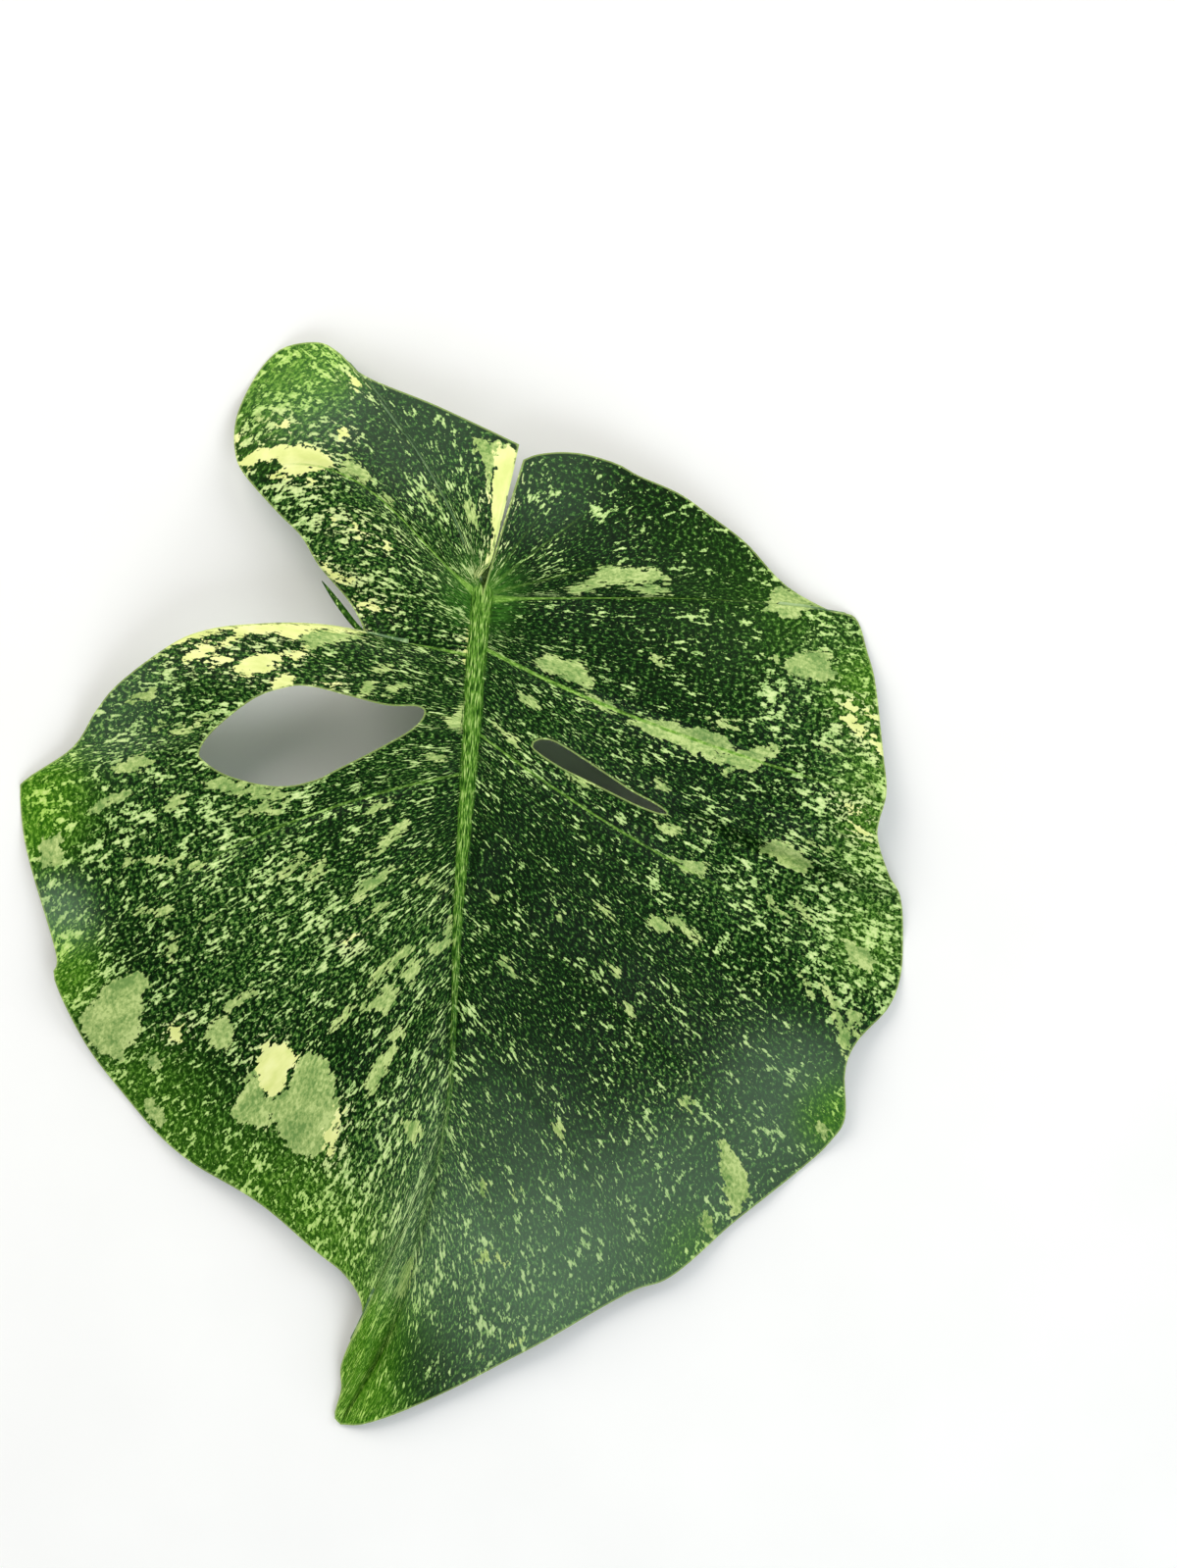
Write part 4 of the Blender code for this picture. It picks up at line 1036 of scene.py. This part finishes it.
def under_skin():
    """The finish of the underside: pale tissue, patches, veins and the thick midrib."""
    material, tree, shader = new_material("matt leaf underside")
    place, _, ribway, dust, streaks = leaf_patterns(tree)
    level = maths(tree, "ADD", maths(tree, "MULTIPLY", streaks, 2.14), maths(tree, "MULTIPLY", dust, 1.07))
    level = maths(tree, "ADD", level, maths(tree, "MULTIPLY_ADD", field(tree, "speckling"), 0.63, -1.40))
    stops = [(0.0, "#5d8054"), (0.4, "#527749"), (0.5, "#6c9158"), (0.62, "#94b577"), (1.0, "#b7d096")]
    colour = palette(tree, level, stops)
    cream_share = between(tree, field(tree, "cream"), -0.6, 0.8)
    colour = blend(tree, cream_share, colour, "#dfe9a4")
    sage_share = between(tree, field(tree, "sage"), -0.6, 0.8)
    colour = blend(tree, sage_share, colour, "#a9c389")
    line = maths(tree, "DIVIDE", field(tree, "vein"), maths(tree, "ADD", field(tree, "vein_half"), 0.3))
    line_share = between(tree, line, 0.5, 1.8, 0.9, 0.0)
    colour = blend(tree, maths(tree, "MULTIPLY", line_share, field(tree, "vein_light")), colour, "#a8c878")
    fibre = noise(tree, ribway, 0.4, 2.0, 0.6, (1, 22, 1))
    rib_colour = palette(tree, fibre, [(0.3, "#7da24f"), (0.55, "#97b965"), (0.75, "#b4cf83")])
    colour = blend(tree, between(tree, field(tree, "rib"), 1.0, 1.5, 1.0, 0.0), colour, rib_colour)
    tree.links.new(colour, shader.inputs["Base Color"])
    tree.links.new(maths(tree, "MULTIPLY_ADD", dust, 0.15, 0.5), shader.inputs["Roughness"])
    net = noise(tree, place, 1.6, 3.0, 0.65)
    height_sum = maths(tree, "ADD", net, maths(tree, "MULTIPLY", fibre, 0.4))
    bump = node(tree, "ShaderNodeBump", {"Height": height_sum, "Strength": 0.6, "Distance": 0.25 * MM})
    tree.links.new(bump.outputs["Normal"], shader.inputs["Normal"])
    return material


# %% [markdown]
# ## The blade as one mesh
#
# Now the two faces and the wall become one object. Besides the flow map it stores the distances that the
# finishes read: to the nearest vein, to the midrib, to the edge, and how deep it lies in a patch.

# %% Build the blade
RIB_LIGHT = [(0, 1), (60, 1), (95, 0.7), (135, 0.35), (TIP, 0.2)]  # how clear the midrib's band is
SHEET_WIDTH = 0.485  # of the bake map's side for each face of the blade
SHEET_BORDER = 0.0075
count = len(top)
walls = boundary_edges(quads)
wall_quads = np.column_stack([walls[:, ::-1], walls + count])
faces = np.vstack([quads, quads[:, ::-1] + count, wall_quads])
face_materials = np.concatenate([np.zeros(len(quads)), np.ones(len(quads)), np.zeros(len(walls))])
blade = mesh_object(
    "leaf_blade_living", np.vstack([top, under]), faces, [upper_skin(), under_skin()], face_materials
)
# bloom holds the painted sheen and glow the painted light through the margins
blade_fields = {
    "speckling": density, "bloom": bloom, "glow": glow, "cream": cream, "sage": sage, "edge": edge,
    "vein": vein_distance, "vein_half": vein_half, "vein_light": vein_light, "joint": joint_distance,
    "rib": rib_share, "rib_light": table_value(RIB_LIGHT, down),
}
for name, values in blade_fields.items():
    add_field(blade.data, name, np.tile(values.ravel(), 2))
add_uv(blade.data, "flow", np.tile(np.column_stack([flow_over.ravel(), along.ravel()]) * MM, (2, 1)))
beside_midrib = np.column_stack([plan[:, 0] - midrib_x(down.ravel()), plan[:, 1]]) * MM
add_uv(blade.data, "ribway", np.tile(beside_midrib, (2, 1)))
sheet = (plan - plan.min(axis=0)) / np.ptp(plan[:, 0]) * SHEET_WIDTH + SHEET_BORDER
add_uv(blade.data, "OFBake", np.vstack([sheet, sheet + [0.5, 0]]))
weld(blade.data)
blade.data.set_sharp_from_angle(angle=np.radians(55))
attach(blade, "root")
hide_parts("leaf_blade")

# %% [markdown]
# ## A torn strip
#
# The lower edge of the small lobe is torn: a strip a millimetre wide still hangs on at the bay between the
# two left lobes, and stands a little off the edge it came from. It is a flat ribbon along a short path,
# closed all round, and it wears the blade's own two finishes.

# %% Torn strip
# x, y and height in mm, and half the strip's width
STRIP = [
    (-30.9, -9.7, 26.9, 0.55), (-33.4, -7.6, 25.8, 0.75), (-36.6, -3.6, 24.2, 0.8),
    (-39.6, 0.4, 22.6, 0.6), (-42.4, 4.2, 21.3, 0.12),
]
STRIP_STEPS = 12  # rings to each span of the path
STRIP_THICKNESS = 0.35
STRIP_CROWN = 0.2  # how much the middle of the strip is raised, as a share of its half-width


def strip_surface():
    """Rings of six points about the path: three across its top, crowned in the middle, and three beneath
    them, one thickness lower."""
    path = through(STRIP, np.linspace(0, len(STRIP) - 1, (len(STRIP) - 1) * STRIP_STEPS + 1))
    ahead = np.gradient(path[:, :3], axis=0)
    sideways = np.cross(ahead, [0.0, 0.0, 1.0])
    sideways /= np.linalg.norm(sideways, axis=1, keepdims=True)
    across_ring = np.array([-1, 0, 1, 1, 0, -1])[None, :, None]
    lift = np.array([0, STRIP_CROWN, 0, 0, STRIP_CROWN, 0]) * path[:, 3:]
    lift = lift - np.array([0, 0, 0, 1, 1, 1]) * STRIP_THICKNESS
    rings = path[:, None, :3] + across_ring * (path[:, 3:] * sideways)[:, None]
    return rings + lift[..., None] * [0.0, 0.0, 1.0]


def strip_faces(rings):
    """Four-sided faces between neighbouring rings, and two more across each end, all facing outward, with
    0 for the upper face's skin and 1 for the underside's."""
    order = np.arange(rings * 6).reshape(rings, 6)
    turned = np.roll(order, -1, axis=1)
    around = np.stack([order[:-1], turned[:-1], turned[1:], order[1:]], axis=-1).reshape(-1, 4)
    start = order[0][[[5, 4, 1, 0], [4, 3, 2, 1]]]
    end = order[-1][[[0, 1, 4, 5], [1, 2, 3, 4]]]
    skins = np.concatenate([np.tile([0, 0, 1, 1, 1, 1], rings - 1), [1, 1, 1, 1]])
    return np.vstack([around, start, end]), skins


strip_rings = strip_surface()
strip_places = strip_rings.reshape(-1, 3) + shift
faces, face_skins = strip_faces(len(strip_rings))
strip = mesh_object("torn_strip_living", strip_places, faces, list(blade.data.materials), face_skins)
# The strip gets a share of painted light, as if shining through its thin tissue
strip_fields = {
    "speckling": 0.15, "bloom": 0, "glow": 0.3, "cream": -9, "sage": -9, "edge": 0.6,
    "vein": 9, "vein_half": 0.1, "vein_light": 0, "joint": 30, "rib": 9, "rib_light": 0,
}
for name, value in strip_fields.items():
    add_field(strip.data, name, np.full(len(strip_places), float(value)))
for name in ("flow", "ribway"):
    add_uv(strip.data, name, strip_places[:, :2] * MM)
weld(strip.data, 0.01 * MM)
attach(strip, "root")
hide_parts("leaf_blade")

# %% [markdown]
# ## The stalk
#
# Behind the joint a monstera's stalk has a knuckle, a swollen and wrinkled stretch with which it turns its
# blade to the light. Here it folds back beneath the midrib and props the blade up, and it ends in a clean
# cut. It is a profile carried along a path: nearly round, with a shallow channel along its upper side.

# %% Stalk surface
STALK = [
    (0.2, 1.8, 30.3, 4.0), (0.2, 6.0, 27.0, 4.3), (0.0, 9.2, 21.8, 4.3), (0.0, 9.6, 15.6, 4.2),
    (-0.3, 6.2, 9.8, 4.0), (-0.8, -1.0, 5.6, 3.7), (-1.6, -12, 3.75, 3.5), (-3, -32, 3.4, 3.4),
    (-5, -60, 3.3, 3.3), (-7.5, -90, 3.3, 3.3), (-10, -120, 3.2, 3.2), (-13, -150, 3.1, 3.1),
]
STALK_SIDES = 64
STALK_STEPS = 22  # rings to each span of the path
KNUCKLE_END = 5.5  # the place on the path, counted in its points, where the swollen stretch ends
WRINKLE = (0.10, 1.5)  # height and spacing of the knuckle's wrinkles in mm
CHANNEL = (0.35, 0.55)  # depth in mm and half-width in radians
# The rings that close the cut end, each as a share of the radius and how far in mm it is beyond the last
CUT_RINGS = [(0.985, 0.06), (0.95, 0.096), (0.6, 0.078), (0.3, 0.048), (0.0, 0.048)]
SKIN_RADIUS = 3.5  # mm, the stalk's usual radius, with which its skin's pattern is laid round it


def stalk_surface():
    """Rings round the path: a point is centre + r (cos a side + sin a up), where the radius r is the path's,
    plus the knuckle's wrinkles, minus the channel exp(-(a' / w) squared) about the upper side. The first and
    the last rings shrink to a point and close the ends."""
    places = np.linspace(0, len(STALK) - 1, (len(STALK) - 1) * STALK_STEPS + 1)
    path = through(STALK, places)
    centre, radius = path[:, :3], path[:, 3]
    tangent = np.gradient(centre, axis=0)
    tangent /= np.linalg.norm(tangent, axis=1, keepdims=True)
    side_axis = np.array([1.0, 0, 0]) - tangent[:, :1] * tangent
    side_axis /= np.linalg.norm(side_axis, axis=1, keepdims=True)
    up_axis = np.cross(side_axis, tangent)
    length = np.concatenate([[0], np.cumsum(np.linalg.norm(np.diff(centre, axis=0), axis=1))])
    knuckle = 1 - ramp(places, KNUCKLE_END - 1.5, KNUCKLE_END)
    height, spacing = WRINKLE
    angle = np.linspace(0, 2 * np.pi, STALK_SIDES, endpoint=False)
    wander = np.sin(2 * angle + 0.3 * length[:, None]) + 0.7 * np.sin(3 * angle - 0.5 * length[:, None])
    wrinkle = height * knuckle[:, None] * np.sin(2 * np.pi * length[:, None] / spacing + wander)
    depth, wide = CHANNEL
    from_top = np.angle(np.exp(1j * (angle - np.pi / 2)))
    channel = depth * (1 - knuckle[:, None]) * np.exp(-((from_top / wide) ** 2))
    ring = radius[:, None] + wrinkle - channel
    shares = np.array([share for share, _ in CUT_RINGS])
    out = np.cumsum([step for _, step in CUT_RINGS])
    last = np.full(len(shares), len(places) - 1)
    order = np.concatenate([[0], np.arange(len(places)), last])
    share = np.concatenate([[0.0], np.ones(len(places)), shares])
    offset = np.concatenate([[0], np.zeros(len(places)), out])
    r = (ring[order] * share[:, None])[..., None]
    sideways = np.cos(angle)[None, :, None] * side_axis[order, None]
    upwards = np.sin(angle)[None, :, None] * up_axis[order, None]
    points = centre[order, None] + r * (sideways + upwards) + (offset[:, None] * tangent[order])[:, None]
    return points, length[order], angle, share


stalk_points, stalk_length, stalk_angle, stalk_share = stalk_surface()
print("stalk path:", stalk_length.max().round(1), "mm long,", stalk_points.shape[0], "rings")

# %% [markdown]
# ## Finish: the stalk's skin and its cut
#
# The skin is smooth and satin, mid green with fine paler lines along it and a few specks like the blade's,
# and the knuckle is a paler yellow-green. The cut shows moist pale pith with the round ends of the vascular
# bundles, and browns a little at its rim.

# %% Stalk materials


def stalk_skin():
    """The finish of the stalk: fine lines along it, a few specks, and a paler knuckle."""
    material, tree, shader = new_material("satin stalk skin")
    run = node(tree, "ShaderNodeUVMap", uv_map="flow").outputs["UV"]
    lines = noise(tree, run, 0.45, 2.0, 0.6, (1, 30, 1))
    specks = noise(tree, run, 1.3, 2.5, 0.6, (1, 3.5, 1))
    mottle = noise(tree, run, 7.0, 2.0, 0.5, (1, 3.0, 1))
    level = maths(tree, "ADD", maths(tree, "MULTIPLY", lines, 0.45), maths(tree, "MULTIPLY", mottle, 0.55))
    colour = palette(tree, level, [(0.3, "#4d7a2a"), (0.5, "#6b9a3d"), (0.68, "#8bb456")])
    colour = blend(tree, between(tree, specks, 0.62, 0.68, 0.0, 0.8), colour, "#c3da8a")
    colour = blend(tree, maths(tree, "MULTIPLY", field(tree, "knuckle"), 0.55), colour, "#a3bf6a")
    tree.links.new(colour, shader.inputs["Base Color"])
    tree.links.new(maths(tree, "MULTIPLY_ADD", mottle, 0.15, 0.33), shader.inputs["Roughness"])
    shader.inputs["IOR"].default_value = 1.45
    bump = node(tree, "ShaderNodeBump", {"Height": lines, "Strength": 0.5, "Distance": 0.2 * MM})
    tree.links.new(bump.outputs["Normal"], shader.inputs["Normal"])
    return material


def cut_pith():
    """The finish of the cut: pale pith, the ends of the bundles, and a browned rim."""
    material, tree, shader = new_material("moist cut pith")
    place = node(tree, "ShaderNodeTexCoord").outputs["Object"]
    bundles = {"Vector": place, "Scale": 1 / (0.75 * MM)}
    cells = node(tree, "ShaderNodeTexVoronoi", bundles).outputs["Distance"]
    soft = noise(tree, place, 1.2, 2.0, 0.5)
    colour = palette(tree, soft, [(0.35, "#b9cf8a"), (0.65, "#d6e2ac")])
    colour = blend(tree, between(tree, cells, 0.12, 0.26, 0.8, 0.0), colour, "#6f8f45")
    colour = blend(tree, between(tree, field(tree, "rim"), 0.86, 0.97, 0.0, 0.7), colour, "#8a7d4a")
    tree.links.new(colour, shader.inputs["Base Color"])
    tree.links.new(maths(tree, "MULTIPLY_ADD", soft, 0.2, 0.3), shader.inputs["Roughness"])
    bump = node(tree, "ShaderNodeBump", {"Height": cells, "Strength": 0.5, "Distance": 0.15 * MM})
    tree.links.new(bump.outputs["Normal"], shader.inputs["Normal"])
    return material


# %% Build the stalk
rings = stalk_points.shape[0]
index = np.arange(rings * STALK_SIDES).reshape(rings, STALK_SIDES)
turned = np.roll(index, -1, axis=1)
tube = np.stack([index[:-1], index[1:], turned[1:], turned[:-1]], axis=-1).reshape(-1, 4)
is_cut = np.repeat(np.arange(rings - 1) >= rings - len(CUT_RINGS), STALK_SIDES)
stalk_places = stalk_points.reshape(-1, 3) + shift
stalk_places[:, 2] = np.maximum(stalk_places[:, 2], CLEARANCE)
stalk = mesh_object("stalk_living", stalk_places, tube, [stalk_skin(), cut_pith()], is_cut)
ring_number = np.repeat(np.arange(rings), STALK_SIDES)
knuckle_rings = KNUCKLE_END * STALK_STEPS
add_field(stalk.data, "knuckle", 1 - ramp(ring_number, 0.5 * knuckle_rings, knuckle_rings))
add_field(stalk.data, "rim", np.repeat(stalk_share, STALK_SIDES))
round_way = np.abs(stalk_angle - np.pi) * SKIN_RADIUS  # mirrored, so that the pattern meets itself
run = np.column_stack([np.tile(round_way, rings), np.repeat(stalk_length, STALK_SIDES)]) * MM
add_uv(stalk.data, "flow", run)
weld(stalk.data)
stalk.data.set_sharp_from_angle(angle=np.radians(40))
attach(stalk, "root")
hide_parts("petiole")

# %% [markdown]
# ## Table, light and camera
#
# The leaf lies on a plain pale table. A broad soft light from the upper left models the swellings, a weaker
# one from the upper right opens the shadows, a low one at the lower right draws a real sheen where a sheen is
# also painted, and little comes from straight above, so the dark green stays deep. The camera looks straight
# down from 1.16 m with a long lens, which keeps the outline true.

# %% Table
TABLE_REACH = 1500  # mm each way
TABLE_DROP = 0.05  # mm from the table's face up to the height at which the leaf rests


def table_surface():
    """A flat grid with no slope at all."""
    reach = np.linspace(-TABLE_REACH, TABLE_REACH, 5)
    x, y = np.meshgrid(reach, reach)
    points = np.stack([x, y, np.full_like(x, -TABLE_DROP)], axis=-1).reshape(-1, 3)
    order = np.arange(25).reshape(5, 5)
    grid = np.stack([order[:-1, :-1], order[:-1, 1:], order[1:, 1:], order[1:, :-1]], axis=-1)
    return points, grid.reshape(-1, 4)


def white_card():
    """The table's finish, with a mottle too faint to see as a pattern."""
    material, tree, shader = new_material("matt white card")
    place = node(tree, "ShaderNodeTexCoord").outputs["Object"]
    mottle = noise(tree, place, 60, 3.0, 0.5)
    tree.links.new(palette(tree, mottle, [(0.3, "#f6f6f4"), (0.7, "#fafaf8")]), shader.inputs["Base Color"])
    shader.inputs["Roughness"].default_value = 0.8
    return material


table_points, table_faces = table_surface()
table = mesh_object("table", table_points, table_faces, [white_card()], np.zeros(len(table_faces)))
table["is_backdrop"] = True

# %% Lights and camera
low, high = (np.array(corner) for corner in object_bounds())
centre = (low + high) / 2


def soft_light(name, turn, height, distance, size, watts, hex_colour):
    """A square area light that faces the leaf, this many degrees round it from +X and this many up."""
    a, e = np.radians(turn), np.radians(height)
    away = np.array([np.cos(e) * np.cos(a), np.cos(e) * np.sin(a), np.sin(e)])
    lamp = bpy.data.lights.new(name, "AREA")
    lamp.shape = "SQUARE"
    lamp.size = size
    lamp.energy = watts
    lamp.color = linear(hex_colour)[:3]
    made = bpy.data.objects.new(name, lamp)
    bpy.context.scene.collection.objects.link(made)
    made.location = centre + away * distance
    made.rotation_mode = "QUATERNION"
    made.rotation_quaternion = mathutils.Vector(away).to_track_quat("Z", "Y")
    return made


soft_light("window from the upper left", 125, 40, 1.6, 1.3, 18, "#fffaf2")
soft_light("window from the upper right", 40, 38, 1.7, 1.2, 10.5, "#fbfdff")
soft_light("panel low at the right", -62, 48, 1.5, 0.9, 8.5, "#f4faff")
world = bpy.data.worlds.new("pale room")
world.use_nodes = True
world.node_tree.nodes["Background"].inputs["Color"].default_value = linear("#f2f5f8")
world.node_tree.nodes["Background"].inputs["Strength"].default_value = 0.32
bpy.context.scene.world = world
bpy.context.scene.view_settings.view_transform = "Standard"

CAMERA_HEIGHT = 1.16  # m above the table
LOOK_AT = (27.3, -48.9)  # mm right of and down from the leaf's joint
lens = bpy.data.cameras.new("camera")
lens.lens = 100
camera = bpy.data.objects.new("camera", lens)
bpy.context.scene.collection.objects.link(camera)
camera.location = (*((shift[:2] + LOOK_AT) * MM), CAMERA_HEIGHT)
bpy.context.scene.camera = camera
print("camera at", [round(each, 3) for each in camera.location])
